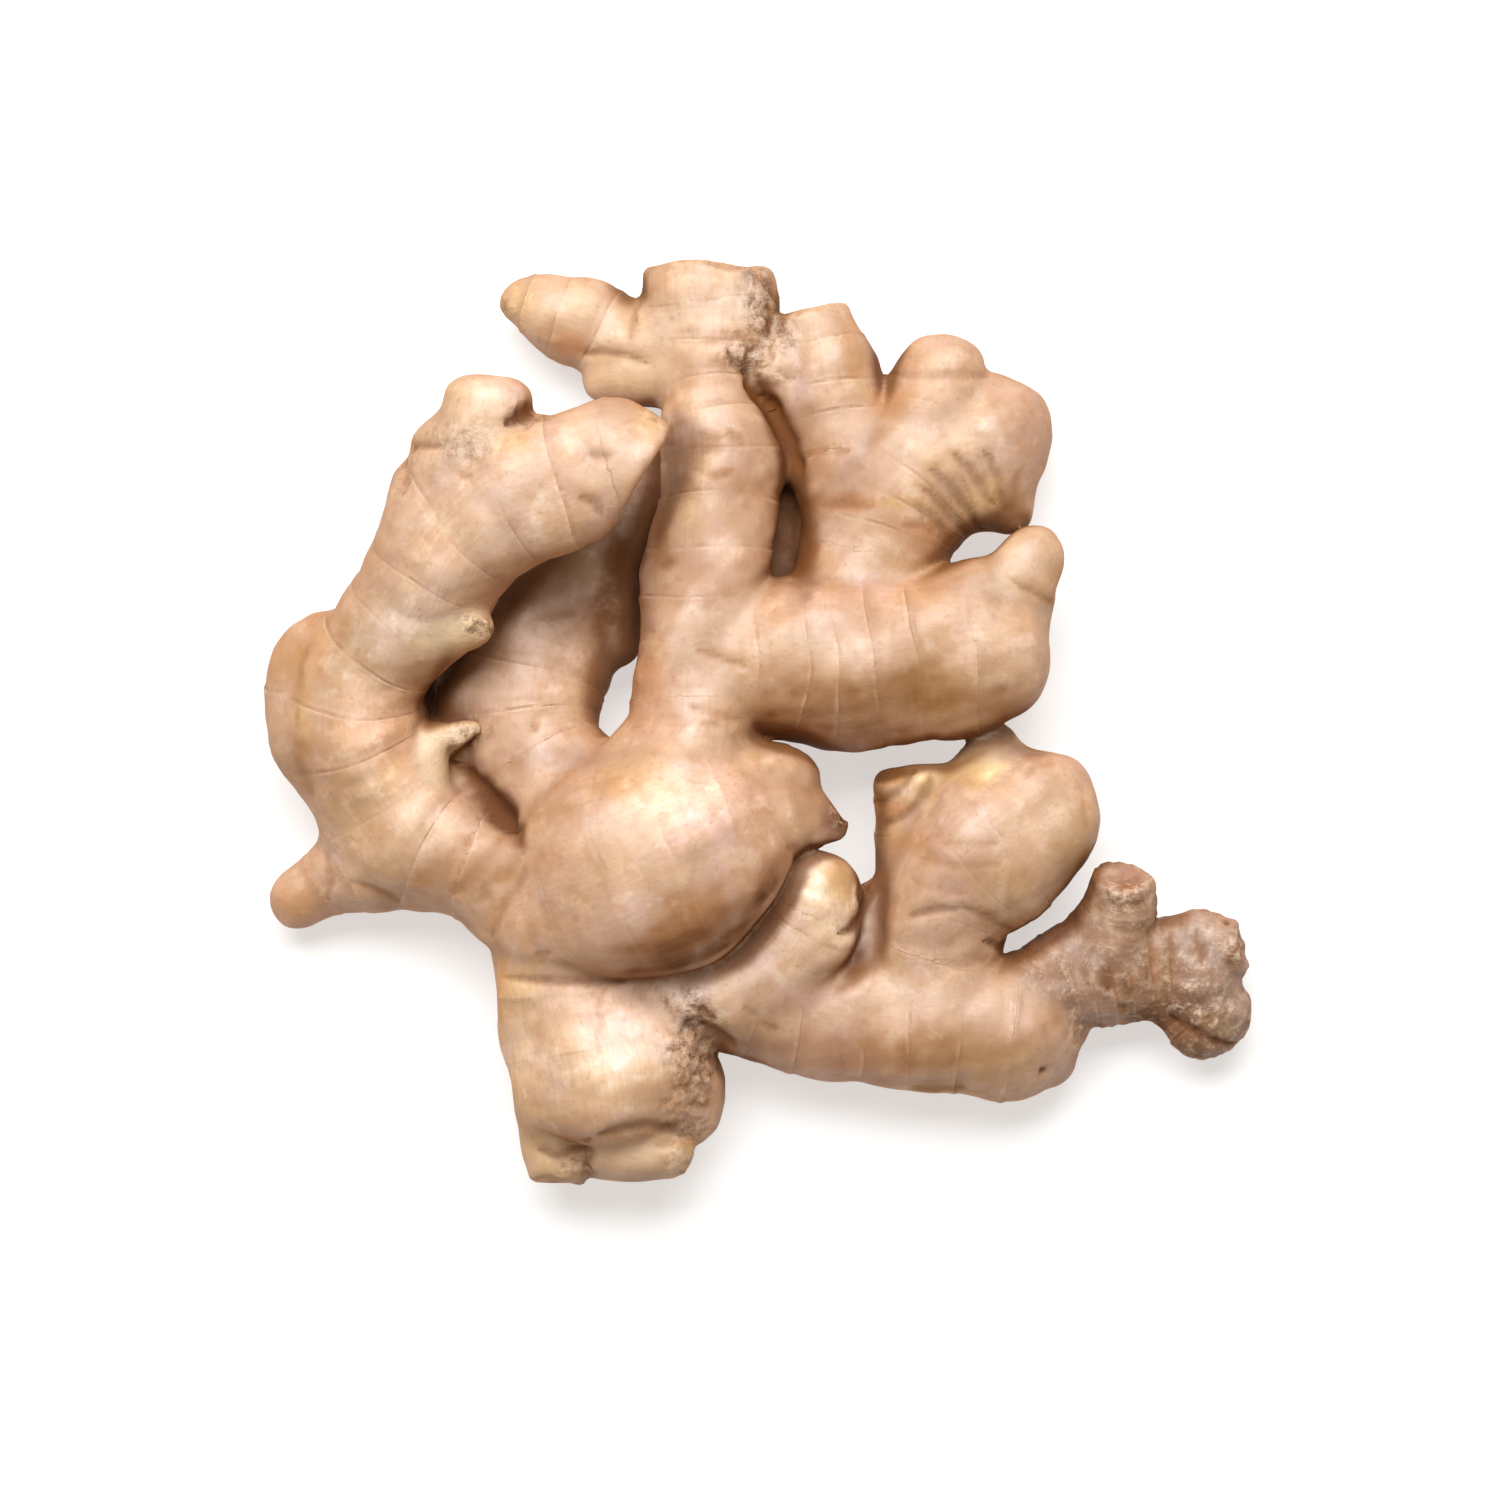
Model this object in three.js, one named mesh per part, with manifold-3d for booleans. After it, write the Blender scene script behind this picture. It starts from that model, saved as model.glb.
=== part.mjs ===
// A fresh ginger root: one rhizome that branches into stout fingers, knobs and buds, and lies on a surface.
// Every finger is a turned profile, ringed where its scale leaves fell off, that is bent along its own core.
// The fingers are joined into one solid, and the underside is level where the root bears on the surface.
// Millimetres, +Z up, z = 0 on the surface, and x = y = 0 under the middle of the root.
import * as THREE from "three";
import { mergeVertices } from "three/addons/utils/BufferGeometryUtils.js";
import Module from "manifold-3d";

// Driving sizes.
const RING_RISE = 0.6; // height of a leaf ring's crest over the skin
const RING_STEP = 1.4; // from a ring's crest to the groove beyond it
const GROOVE = 0.4; // depth of that groove under the skin
const MIN_ROW = 5; // the least length of finger between a groove and the next ring that gets a row of its own
const LEAN = 0.1; // how far a ring leans towards the finger's tip on its upper side, over its height
const FLATNESS = 0.93; // a finger's height over its width
const FACET = 7; // about the length of a facet's side round a finger
const LUMP = 0.4; // how much each slow wave of unevenness adds to the skin or takes from it
const SKIN_COLOUR = 0xd8ab7c;

// The waves of unevenness: how fast each one runs along x, y and z, in radians per millimetre, and its phase.
const WAVES = [
  [0.21, 0.13, 0.1, 0.4],
  [-0.12, 0.24, 0.17, 2.1],
  [0.33, -0.29, 0.22, 4.0],
];

// Each finger's stations are [x, y, z, radius] on its core, from inside the finger it grows from to its tip.
// rings are the distances along the core where its scale leaves were, and end names its tip's shape.
// flat is its height over its width where that isn't FLATNESS.
// The heart, which every other finger starts from, with a shoulder under the finger at its right.
// The heart, which every other finger starts from, with a shoulder under the finger at its right.
// The heart, which every other finger starts from, with a shoulder under the finger at its right.
// The heart, which every other finger starts from, with a shoulder under the finger at its right.
const HEART = [
  { end: "bud", rings: [11.4, 22.4, 32.1, 40.8, 48.6], stations: [
    [-40, -30, 17, 9], [-30, -28, 19, 15.5], [-16.3, -23.2, 24, 19.1], [-4.5, -17.6, 24, 10.8],
    [3, -15.6, 23, 7.4], [8, -16.4, 21.8, 4.8], [12.3, -17.6, 20.5, 2.6],
  ] },
  { end: "round", stations: [[-6, -11, 22, 9], [3, -9.5, 21.5, 6.4]] },
];

// The trunk that the hand was broken from, with a shoulder, a knob and a bud at its foot.
const TRUNK = [
  { end: "blunt", rings: [10.2, 19.6, 26.4], flat: 0.82, stations: [
    [-29, -34, 15, 16], [-28.2, -46, 13.6, 16.6], [-25.8, -54.5, 14.2, 17.1],
    [-24.8, -60.6, 13.6, 16.9],
  ] },
  { end: "round", stations: [[-22, -56, 13, 10], [-15, -60.5, 12.5, 9.2], [-12.8, -64, 12.5, 7.1]] },
  { end: "round", stations: [[-26, -69.8, 13, 6.6], [-20.5, -70.8, 14, 6.2], [-16.3, -71.2, 14.5, 5.1]] },
  { end: "scar", stations: [[-33, -64, 12, 8.3], [-33.6, -70, 12.5, 6.6], [-34, -75.4, 13, 4.7]] },
];

// The long arm that arches over the shaded finger, and the knobs and buds on it.
const ARM = [
  { end: "scar", rings: [11.8, 19.3, 31.5, 41.9, 50, 59.5, 69.3, 78.5, 88.2, 98.3, 106.5, 113.9],
    stations: [
    [-36, -27, 17, 10], [-47.5, -22.8, 15, 10.8], [-57.4, -18.8, 11.9, 12.7], [-63.8, -9.8, 13, 12.6],
    [-67.8, -2, 15, 12.6], [-66.9, 7, 18, 10.8], [-61.2, 15, 22, 10.3], [-55.4, 22.7, 27, 11.1],
    [-50, 31, 31, 12.7], [-42.5, 36.6, 34, 13], [-33.5, 39.7, 36, 11.5], [-27.3, 42.2, 36, 10.6],
    [-25, 43.2, 36, 10.4], [-23, 42.3, 36, 10.3],
  ] },
  { end: "blunt", rings: [6.2], stations: [
    [-47, 41, 34, 9.2], [-45.8, 47.4, 35.5, 8.1], [-45, 52, 36, 7.4],
  ] },
  { end: "round", stations: [[-50, 41.5, 33, 7.6], [-52.8, 45, 33, 5.2]] },
  { end: "round", stations: [[-53, 35, 31, 7.6], [-55.8, 38, 31, 5.6]] },
  { end: "bud", rings: [6.9], stations: [
    [-57.5, 18.5, 27, 7], [-51.8, 17, 30, 5.8], [-47.8, 15.9, 31, 3.9], [-44.9, 15.2, 31, 1.3],
  ] },
  { end: "round", stations: [[-60, 16.5, 25, 8.6], [-55, 15.8, 27.2, 6.2]] },
  { end: "bud", stations: [[-56, -6.5, 17, 6], [-51.5, -2.6, 20.5, 3.4], [-48, -1.2, 21, 2.4]] },
  { end: "round", rings: [6.8, 13.9], stations: [
    [-71.3, -7.5, 12.5, 7], [-75.4, 0, 14, 7.2], [-75.9, 8.3, 15, 7.1], [-72.4, 11.8, 17, 6.4],
  ] },
  { end: "round", rings: [5.3, 10.4], stations: [
    [-64.2, -23, 10.5, 8.9], [-71.6, -26.9, 8.5, 5.9], [-77.4, -29.9, 7.5, 5.5],
  ] },
];

const SHADED_FINGER = [
  { end: "round", rings: [17.6, 25.9, 33.9, 44.8], flat: 0.72, stations: [
    [-27, -20, 19, 13], [-38.8, -6.5, 13.5, 12.8], [-40.9, 5, 11, 13.9], [-37.5, 14, 9.3, 13.6],
    [-32.5, 25, 9.9, 11.4],
  ] },
  { end: "round", stations: [[-25.2, 14.8, 9, 5.7], [-25.4, 21, 10, 6], [-27, 28, 10, 5.5]] },
];

// The neck that climbs from the heart, its pointed side finger, and the lobes beside its head.
const NECK = [
  { end: "scar", rings: [18.5, 26.8, 35.6, 43.4, 52.3, 59.9, 65.9, 72, 79.2, 86], stations: [
    [-16.2, -14, 23, 13], [-11.7, -2, 21, 10.3], [-11.2, 7, 20, 10.7], [-9.2, 17, 19.5, 10.6],
    [-8.3, 28, 18.6, 10.4], [-7, 38.5, 17.4, 10.2], [-6.8, 46.5, 16, 10.3], [-9, 56, 13.4, 7.9],
    [-8.2, 64.5, 11.4, 10.8], [-8.4, 72, 10.9, 11.8],
  ] },
  { end: "bud", rings: [7.3, 14, 21.1, 26.7], stations: [
    [-13.5, 62.5, 11, 8.5], [-22.3, 63.6, 10, 8], [-28.3, 66.7, 9.5, 7.7], [-33.6, 68.5, 9.2, 6.9],
    [-38, 69.5, 9, 4.7], [-41.1, 69.5, 9, 2],
  ] },
  { end: "round", stations: [[-15, 58.5, 12, 7], [-22, 58.2, 12.5, 5.3], [-26.3, 58, 12, 3.6]] },
  { end: "round", stations: [[-5, 64, 13, 6], [-1.5, 60.5, 14.5, 4]] },
];

// The thick finger at the right, which fills out into the blunt shoot on its corner.
const RIGHT_FINGER = [
  { end: "blunt", rings: [2.5, 8.4, 16.9, 22.2, 28.5, 35.6, 45.1], flat: 0.9, stations: [
    [-10, 11, 20, 10], [-1, 11.5, 19.5, 12], [8, 10.2, 18.5, 14.4], [16.5, 10.1, 18, 14.9],
    [25.5, 11, 17.5, 14.1], [33.5, 11.5, 17, 13.6], [40.4, 11.9, 17, 11.6],
  ] },
  { end: "round", stations: [[29, 16.5, 17, 9.6], [36, 18.4, 17.5, 8.6]] },
  { end: "round", rings: [7.3], stations: [
    [39.5, 17, 17, 8], [43.6, 22.8, 18, 6.5], [46.1, 26.6, 18.5, 5.6],
  ] },
];

// The cluster at the upper right: a finger that turns outwards, a prong with a broken end and a full flank,
// two knobs, and a lip that curls under.
const UPPER_CLUSTER = [
  { end: "round", rings: [7.6, 13.4, 18.6, 23.7, 30.9], stations: [
    [15, 20, 15.5, 10], [18.7, 28.2, 13.5, 12.2], [21.7, 36.5, 12.8, 13.4], [27.8, 43.8, 12, 13],
    [36.6, 46.1, 11.4, 12],
  ] },
  { end: "scar", rings: [12.6, 18.7, 23.6, 30.8], stations: [
    [18, 33, 13.5, 10.5], [14.3, 45, 13.5, 9.8], [11.2, 57, 13, 8.8], [9, 65.8, 12.5, 6.8],
  ] },
  { end: "round", stations: [[11, 44, 13, 7], [7.9, 52, 13.8, 6.3], [3.8, 58.6, 14.4, 6.2]] },
  { end: "round", rings: [5.1], stations: [
    [28.3, 48.5, 13, 10], [29.6, 54, 13.5, 8.8], [30.3, 58.8, 14, 7],
  ] },
  { end: "round", stations: [[37, 46.5, 12.5, 9], [41, 50, 12.8, 7.4]] },
  { end: "round", stations: [[36, 42, 12.5, 8.5], [39.5, 38, 12, 5.6], [41.8, 35.6, 12, 4.1]] },
];

// Skin that the crowded fingers share at their feet, beside the neck and under the arm.
const WEB = [
  { end: "round", stations: [[-2, 22, 7, 6], [4, 30, 6.5, 5.8], [5, 36, 6.5, 5]] },
  { end: "round", stations: [[-50, -3, 6, 5], [-52.5, 5, 6.4, 5.4], [-52, 12, 7, 5.4]] },
  { end: "round", stations: [[-27, 20, 7, 6.6], [-22.5, 31, 7, 6.6], [-20, 40, 8, 5.6], [-20, 44, 8, 5]] },
];

// The long finger at the lower right: its thumb, the skin in the thumb's crotch, and the spurs at its tip.
const LOWER_FINGER = [
  { end: "round", rings: [10.4, 19.6, 26.9, 38.6, 46.4, 54.5, 62.9], stations: [
    [-20, -43, 16, 11], [-7.5, -44.6, 15, 10.4], [1, -47.3, 12.8, 10.2], [11, -48.7, 11.5, 10.4],
    [21, -50, 11.1, 11.8], [31.5, -50.9, 11, 12], [41, -51.7, 10.8, 11.3], [45.5, -52.4, 10.2, 8.5],
  ] },
  { end: "round", rings: [6.1, 10.2, 12.9], stations: [
    [2.5, -41, 15, 10.6], [6.9, -34.2, 17.6, 9.5], [8.9, -28.6, 19.3, 7.4],
  ] },
  { end: "round", stations: [[18.5, -42, 12, 6.4], [18.4, -36, 13.4, 4.6], [19.2, -31, 14, 3.4]] },
  { end: "round", stations: [[45, -50.5, 10, 6], [51, -51.2, 10, 4]] },
  { end: "round", stations: [[43, -55, 8.5, 5.5], [49, -57, 8, 3.8]] },
];

// The stout bulb that stands on the lower finger, with a snapped shoot and a bud.
const BULB = [
  { end: "round", rings: [5.2, 12.9, 21.1, 28.5], stations: [
    [28.5, -45, 12.5, 10], [30, -36.5, 13.5, 10.8], [32.5, -27.7, 14.5, 12.4], [38, -20.7, 15, 14.3],
    [44.3, -16.4, 15, 12.8],
  ] },
  { end: "blunt", rings: [8.3, 11.6], stations: [
    [30, -24, 13, 9.4], [26.2, -17, 13, 7.6], [26.2, -11.8, 13, 8.3],
  ] },
  { end: "round", rings: [4.6, 8.2], stations: [
    [40.5, -13.5, 15, 9.5], [39.9, -7.2, 13.2, 6.2], [39.4, -3.3, 10.8, 3.4],
  ] },
];

// The old, dull branch at the far right: close rings, a cut stub and its foot, an ear and a toe.
const OLD_BRANCH = [
  { end: "round", rings: [7.1, 11.9, 15.2, 18.9, 22.1, 25.9, 29.1, 32], stations: [
    [41, -49.5, 10.5, 9], [50.8, -43.7, 9.8, 8], [58.5, -42.2, 9.5, 8.5], [66.3, -41.3, 9.5, 8.6],
    [72.5, -41.4, 9.5, 7.8],
  ] },
  { end: "scar", rings: [4.5, 8.7], stations: [
    [58.3, -39, 11, 6.4], [60, -31.4, 14.5, 6.1], [60.5, -27, 17, 5.7],
  ] },
  { end: "round", stations: [[53.3, -41, 9.5, 5.8], [57.2, -34, 11.5, 3.8]] },
  { end: "scar", rings: [3.4], stations: [[73.3, -37.7, 10, 5.8], [78.9, -37.5, 11.2, 4.9]] },
  { end: "round", rings: [2, 4.7], stations: [[71.5, -45.5, 8.5, 7], [75.8, -50, 8, 6.9]] },
];

const FINGERS = [
  ...HEART, ...TRUNK, ...ARM, ...SHADED_FINGER, ...NECK, ...RIGHT_FINGER,
  ...UPPER_CLUSTER, ...WEB, ...LOWER_FINGER, ...BULB, ...OLD_BRANCH,
];

// The shapes of a finger's tip past its last station, as [share of the radius, share of the radius further on].
const ENDS = {
  round: [[0.88, 0.47], [0.55, 0.84], [0, 1]], // a smooth dome
  blunt: [[0.93, 0.3], [0.66, 0.53], [0, 0.62]], // a dome pressed nearly flat
  bud: [[0.8, 0.6], [0, 1]], // a sharp shoot
  scar: [[0.95, 0.32], [0.74, 0.44], [0, 0.26]], // the dished scar that a stem or a snapped finger leaves
};

const UP = new THREE.Vector3(0, 0, 1);
const CORE_STEPS = 200; // pieces that a core's length is measured in

const wasm = await Module();
wasm.setup();

const smoothThrough = (points) => new THREE.CatmullRomCurve3(points, false, "catmullrom");

// A finger's core and its radius, as curves through the stations that share one parameter.
function coreOf(stations) {
  const line = smoothThrough(stations.map(([x, y, z]) => new THREE.Vector3(x, y, z)));
  const girth = smoothThrough(stations.map(([, , , radius]) => new THREE.Vector3(radius, 0, 0)));
  line.arcLengthDivisions = CORE_STEPS;
  const length = line.getLength();
  const parameterAt = (s) => line.getUtoTmapping(THREE.MathUtils.clamp(s / length, 0, 1));
  return { line, length, parameterAt, radiusAt: (s) => girth.getPoint(parameterAt(s)).x };
}

// The turned profile of a finger before it is bent: radius against distance along the core. At each leaf ring the
// skin rises to a crest, drops to a groove, and swells again before the next one.
function profileOf({ rings = [], end }, { length, radiusAt }) {
  const first = radiusAt(0);
  const last = radiusAt(length);
  const profile = [[0, -0.6 * first], [0.7 * first, -0.4 * first], [first, 0]];
  const middles = rings.length ? [] : [length / 2];
  rings.forEach((s, i) => {
    const groove = s + RING_STEP;
    const next = rings[i + 1] ?? length;
    profile.push([radiusAt(s) + RING_RISE, s], [radiusAt(groove) - GROOVE, groove]);
    if (next - groove > MIN_ROW) middles.push((groove + next) / 2);
  });
  if (rings[0] > 2 * MIN_ROW) middles.push(rings[0] / 2);
  middles.forEach((s) => profile.push([radiusAt(s), s]));
  profile.push([last, length]);
  profile.sort((a, b) => a[1] - b[1]);
  ENDS[end].forEach(([across, on]) => profile.push([across * last, length + on * last]));
  return profile.map(([radius, s]) => new THREE.Vector2(radius, s));
}

// The slow unevenness of the skin at a point, as the sum of the waves there.
function lumpAt({ x, y, z }) {
  const heights = WAVES.map(([kx, ky, kz, phase]) => LUMP * Math.sin(kx * x + ky * y + kz * z + phase));
  return heights.reduce((sum, height) => sum + height);
}

// A finger: its profile turned round, then bent along its core with its section flattened, and made uneven.
function fingerSolid(finger) {
  const core = coreOf(finger.stations);
  const flat = finger.flat ?? FLATNESS;
  const stoutest = Math.max(...finger.stations.map((station) => station[3]));
  const sides = Math.max(9, Math.round((2 * Math.PI * stoutest) / FACET));
  const fuller = 1 / Math.sqrt(Math.cos(Math.PI / sides)); // corners as far out as the facets' middles are in
  const geometry = new THREE.LatheGeometry(profileOf(finger, core), sides).scale(fuller, 1, fuller);
  const position = geometry.getAttribute("position");
  for (let i = 0; i < position.count; i += 1) {
    const s = position.getY(i) + LEAN * position.getX(i);
    const onCore = THREE.MathUtils.clamp(s, 0, core.length);
    const parameter = core.parameterAt(onCore);
    const along = core.line.getTangent(parameter);
    const aside = new THREE.Vector3().crossVectors(UP, along).normalize();
    const above = new THREE.Vector3().crossVectors(along, aside);
    const outward = above.multiplyScalar(position.getX(i)).addScaledVector(aside, position.getZ(i));
    outward.z *= flat;
    outward.addScaledVector(along, s - onCore);
    const place = core.line.getPoint(parameter).add(outward);
    place.addScaledVector(outward.normalize(), lumpAt(place));
    position.setXYZ(i, place.x, place.y, place.z);
  }
  return solidOf(geometry);
}

// A closed geometry as a solid that can be joined and cut.
function solidOf(geometry) {
  geometry.deleteAttribute("normal");
  geometry.deleteAttribute("uv");
  const merged = mergeVertices(geometry, 1e-4);
  return new wasm.Manifold(
    new wasm.Mesh({
      numProp: 3,
      vertProperties: new Float32Array(merged.getAttribute("position").array),
      triVerts: new Uint32Array(merged.index.array),
    }),
  );
}

// A solid as a geometry again.
function geometryOf(solid) {
  const mesh = solid.getMesh();
  return new THREE.BufferGeometry()
    .setAttribute("position", new THREE.BufferAttribute(mesh.vertProperties, 3))
    .setIndex(new THREE.BufferAttribute(mesh.triVerts, 1));
}

// All the fingers joined, and cut level with the surface, so that the root bears on a few small flat spots.
function rhizome() {
  const grown = FINGERS.map(fingerSolid).reduce((whole, finger) => whole.add(finger));
  const slab = new THREE.BoxGeometry(400, 400, 20).translate(0, 0, -10);
  return grown.subtract(solidOf(slab));
}

const root = new THREE.Mesh(
  geometryOf(rhizome()),
  new THREE.MeshStandardMaterial({ color: SKIN_COLOUR, roughness: 0.62, metalness: 0 }),
);
root.name = "ginger_root";

const group = new THREE.Group();
group.add(root);
export default group;
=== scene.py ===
import bpy
import numpy as np
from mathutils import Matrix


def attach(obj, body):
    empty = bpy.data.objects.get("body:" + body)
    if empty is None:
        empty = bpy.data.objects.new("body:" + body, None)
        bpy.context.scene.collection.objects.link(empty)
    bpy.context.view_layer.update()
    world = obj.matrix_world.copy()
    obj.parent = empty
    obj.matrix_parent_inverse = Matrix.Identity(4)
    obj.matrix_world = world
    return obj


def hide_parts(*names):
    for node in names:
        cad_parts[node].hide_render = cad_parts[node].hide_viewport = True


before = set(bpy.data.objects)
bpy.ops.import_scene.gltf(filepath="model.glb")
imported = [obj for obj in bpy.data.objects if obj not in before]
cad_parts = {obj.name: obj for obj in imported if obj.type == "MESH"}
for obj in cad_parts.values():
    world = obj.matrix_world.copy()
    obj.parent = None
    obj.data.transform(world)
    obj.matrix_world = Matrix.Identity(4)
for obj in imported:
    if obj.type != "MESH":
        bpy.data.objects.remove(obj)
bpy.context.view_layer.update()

# ------------------------------------------------------------------------------
# The plan of the rhizome. The real root is one swollen stem that lay in the soil and branched again and
# again. Each branch, or finger, is a row of swellings between leaf rings, and ends in a dome, a pointed
# shoot, or the dished scar of a stem that died back. Sizes are in millimetres until the mesh is made, and
# the solid has the same cores.

FLATNESS = 0.93  # a finger's height over its width
FINE = 40  # how many short steps a stretch between two stations is first worked out in

# A finger is (rings, stations, more). Its rings are the distances along its core where its leaves were.
# Its stations are x, y, z and radius on the core, from inside the finger that it grows from to its tip.
# more may hold: cut, how a tip ends that isn't round; flat, its height over its width; join, how widely its
# foot flares into the finger that it grows from; snug, how widely the rest of it flows into its neighbours;
# ringed, how strong its rings are; old, how grey and dry its skin is; and bud, how pale its skin is.
HEART = [
    ([11.4, 22.4, 32.1, 40.8, 48.6], [(-40, -30, 17, 9), (-30, -28, 19, 15.5), (-16.3, -23.2, 24, 19.1),
     (-4.5, -17.6, 24, 10.8), (3, -15.6, 23, 7.4), (8, -16.4, 21.8, 4.8), (12.3, -17.6, 20.5, 2.6)],
     {"ringed": 0.35}),
    ([], [(-6, -11, 22, 9), (3, -9.5, 21.5, 6.4)], {"join": 3}),
]
TRUNK = [
    ([10.2, 19.6, 26.4], [(-29, -34, 15, 16), (-28.2, -46, 13.6, 16.6), (-25.8, -54.5, 14.2, 17.1),
     (-24.8, -60.6, 13.6, 16.9)], {"cut": "blunt", "flat": 0.82, "ringed": 0.45}),
    ([], [(-22, -56, 13, 10), (-15, -60.5, 12.5, 9.2), (-12.8, -64, 12.5, 7.1)], {"join": 3}),
    ([], [(-26, -69.8, 13, 6.6), (-20.5, -70.8, 14, 6.2), (-16.3, -71.2, 14.5, 5.1)],
     {"join": 2, "bud": 0.6}),
    ([], [(-33, -64, 12, 8.3), (-33.6, -70, 12.5, 6.6), (-34, -75.4, 13, 4.7)],
     {"cut": "scar", "bud": 0.5}),
]
ARM = [
    ([11.8, 19.3, 31.5, 41.9, 50, 59.5, 69.3, 78.5, 88.2, 98.3, 106.5, 113.9], [(-36, -27, 17, 10),
     (-47.5, -22.8, 15, 10.8), (-57.4, -18.8, 11.9, 12.7), (-63.8, -9.8, 13, 12.6), (-67.8, -2, 15, 12.6),
     (-66.9, 7, 18, 10.8), (-61.2, 15, 22, 10.3), (-55.4, 22.7, 27, 11.1), (-50, 31, 31, 12.7),
     (-42.5, 36.6, 34, 13), (-33.5, 39.7, 36, 11.5), (-27.3, 42.2, 36, 10.6), (-25, 43.2, 36, 10.4),
     (-23, 42.3, 36, 10.3)], {"cut": "scar", "join": 3}),
    ([6.2], [(-47, 41, 34, 9.2), (-45.8, 47.4, 35.5, 8.1), (-45, 52, 36, 7.4)],
     {"cut": "blunt", "join": 2.5, "bud": 0.3}),
    ([], [(-50, 41.5, 33, 7.6), (-52.8, 45, 33, 5.2)], {"join": 4, "snug": 3, "bud": 0.4}),
    ([], [(-53, 35, 31, 7.6), (-55.8, 38, 31, 5.6)], {"join": 4, "snug": 3}),
    ([6.9], [(-57.5, 18.5, 27, 7), (-51.8, 17, 30, 5.8), (-47.8, 15.9, 31, 3.9), (-44.9, 15.2, 31, 1.3)],
     {"join": 2.5, "bud": 1}),
    ([], [(-60, 16.5, 25, 8.6), (-55, 15.8, 27.2, 6.2)], {"join": 4, "snug": 3}),
    ([], [(-56, -6.5, 17, 6), (-51.5, -2.6, 20.5, 3.4), (-48, -1.2, 21, 2.4)], {"bud": 1}),
    ([6.8, 13.9], [(-71.3, -7.5, 12.5, 7), (-75.4, 0, 14, 7.2), (-75.9, 8.3, 15, 7.1),
     (-72.4, 11.8, 17, 6.4)], {"join": 3, "snug": 2.5}),
    ([5.3, 10.4], [(-64.2, -23, 10.5, 8.9), (-71.6, -26.9, 8.5, 5.9), (-77.4, -29.9, 7.5, 5.5)],
     {"join": 1.6}),
]
SHADED_FINGER = [
    ([17.6, 25.9, 33.9, 44.8], [(-27, -20, 19, 13), (-38.8, -6.5, 13.5, 12.8), (-40.9, 5, 11, 13.9),
     (-37.5, 14, 9.3, 13.6), (-32.5, 25, 9.9, 11.4)], {"flat": 0.72, "join": 2}),
    ([], [(-25.2, 14.8, 9, 5.7), (-25.4, 21, 10, 6), (-27, 28, 10, 5.5)], {"old": 0.5}),
]
NECK = [
    ([18.5, 26.8, 35.6, 43.4, 52.3, 59.9, 65.9, 72, 79.2, 86], [(-16.2, -14, 23, 13),
     (-11.7, -2, 21, 10.3), (-11.2, 7, 20, 10.7), (-9.2, 17, 19.5, 10.6), (-8.3, 28, 18.6, 10.4),
     (-7, 38.5, 17.4, 10.2), (-6.8, 46.5, 16, 10.3), (-9, 56, 13.4, 7.9), (-8.2, 64.5, 11.4, 10.8),
     (-8.4, 72, 10.9, 11.8)], {"cut": "scar", "join": 3}),
    ([7.3, 14, 21.1, 26.7], [(-13.5, 62.5, 11, 8.5), (-22.3, 63.6, 10, 8), (-28.3, 66.7, 9.5, 7.7),
     (-33.6, 68.5, 9.2, 6.9), (-38, 69.5, 9, 4.7), (-41.1, 69.5, 9, 2)], {"join": 4, "bud": 0.3}),
    ([], [(-15, 58.5, 12, 7), (-22, 58.2, 12.5, 5.3), (-26.3, 58, 12, 3.6)], {"join": 2.5, "bud": 0.4}),
    ([], [(-5, 64, 13, 6), (-1.5, 60.5, 14.5, 4)], {}),
]
RIGHT_FINGER = [
    ([2.5, 8.4, 16.9, 22.2, 28.5, 35.6, 45.1], [(-10, 11, 20, 10), (-1, 11.5, 19.5, 12),
     (8, 10.2, 18.5, 14.4), (16.5, 10.1, 18, 14.9), (25.5, 11, 17.5, 14.1), (33.5, 11.5, 17, 13.6),
     (40.4, 11.9, 17, 11.6)], {"cut": "blunt", "flat": 0.9, "join": 2.5}),
    ([], [(29, 16.5, 17, 9.6), (36, 18.4, 17.5, 8.6)], {}),
    ([7.3], [(39.5, 17, 17, 8), (43.6, 22.8, 18, 6.5), (46.1, 26.6, 18.5, 5.6)],
     {"join": 1.2, "bud": 0.3}),
]
UPPER_CLUSTER = [
    ([7.6, 13.4, 18.6, 23.7, 30.9], [(15, 20, 15.5, 10), (18.7, 28.2, 13.5, 12.2),
     (21.7, 36.5, 12.8, 13.4), (27.8, 43.8, 12, 13), (36.6, 46.1, 11.4, 12)], {"join": 2, "ringed": 0.7}),
    ([12.6, 18.7, 23.6, 30.8], [(18, 33, 13.5, 10.5), (14.3, 45, 13.5, 9.8), (11.2, 57, 13, 8.8),
     (9, 65.8, 12.5, 6.8)], {"cut": "scar", "join": 1}),
    ([], [(11, 44, 13, 7), (7.9, 52, 13.8, 6.3), (3.8, 58.6, 14.4, 6.2)], {"join": 1}),
    ([5.1], [(28.3, 48.5, 13, 10), (29.6, 54, 13.5, 8.8), (30.3, 58.8, 14, 7)], {"join": 1}),
    ([], [(37, 46.5, 12.5, 9), (41, 50, 12.8, 7.4)], {"join": 4, "snug": 3}),
    ([], [(36, 42, 12.5, 8.5), (39.5, 38, 12, 5.6), (41.8, 35.6, 12, 4.1)], {"join": 4, "snug": 2.5}),
]
WEB = [
    ([], [(-2, 22, 7, 6), (4, 30, 6.5, 5.8), (5, 36, 6.5, 5)], {"old": 0.7}),
    ([], [(-50, -3, 6, 5), (-52.5, 5, 6.4, 5.4), (-52, 12, 7, 5.4)], {"old": 0.7}),
    ([], [(-27, 20, 7, 6.6), (-22.5, 31, 7, 6.6), (-20, 40, 8, 5.6), (-20, 44, 8, 5)], {"old": 0.7}),
]
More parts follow.
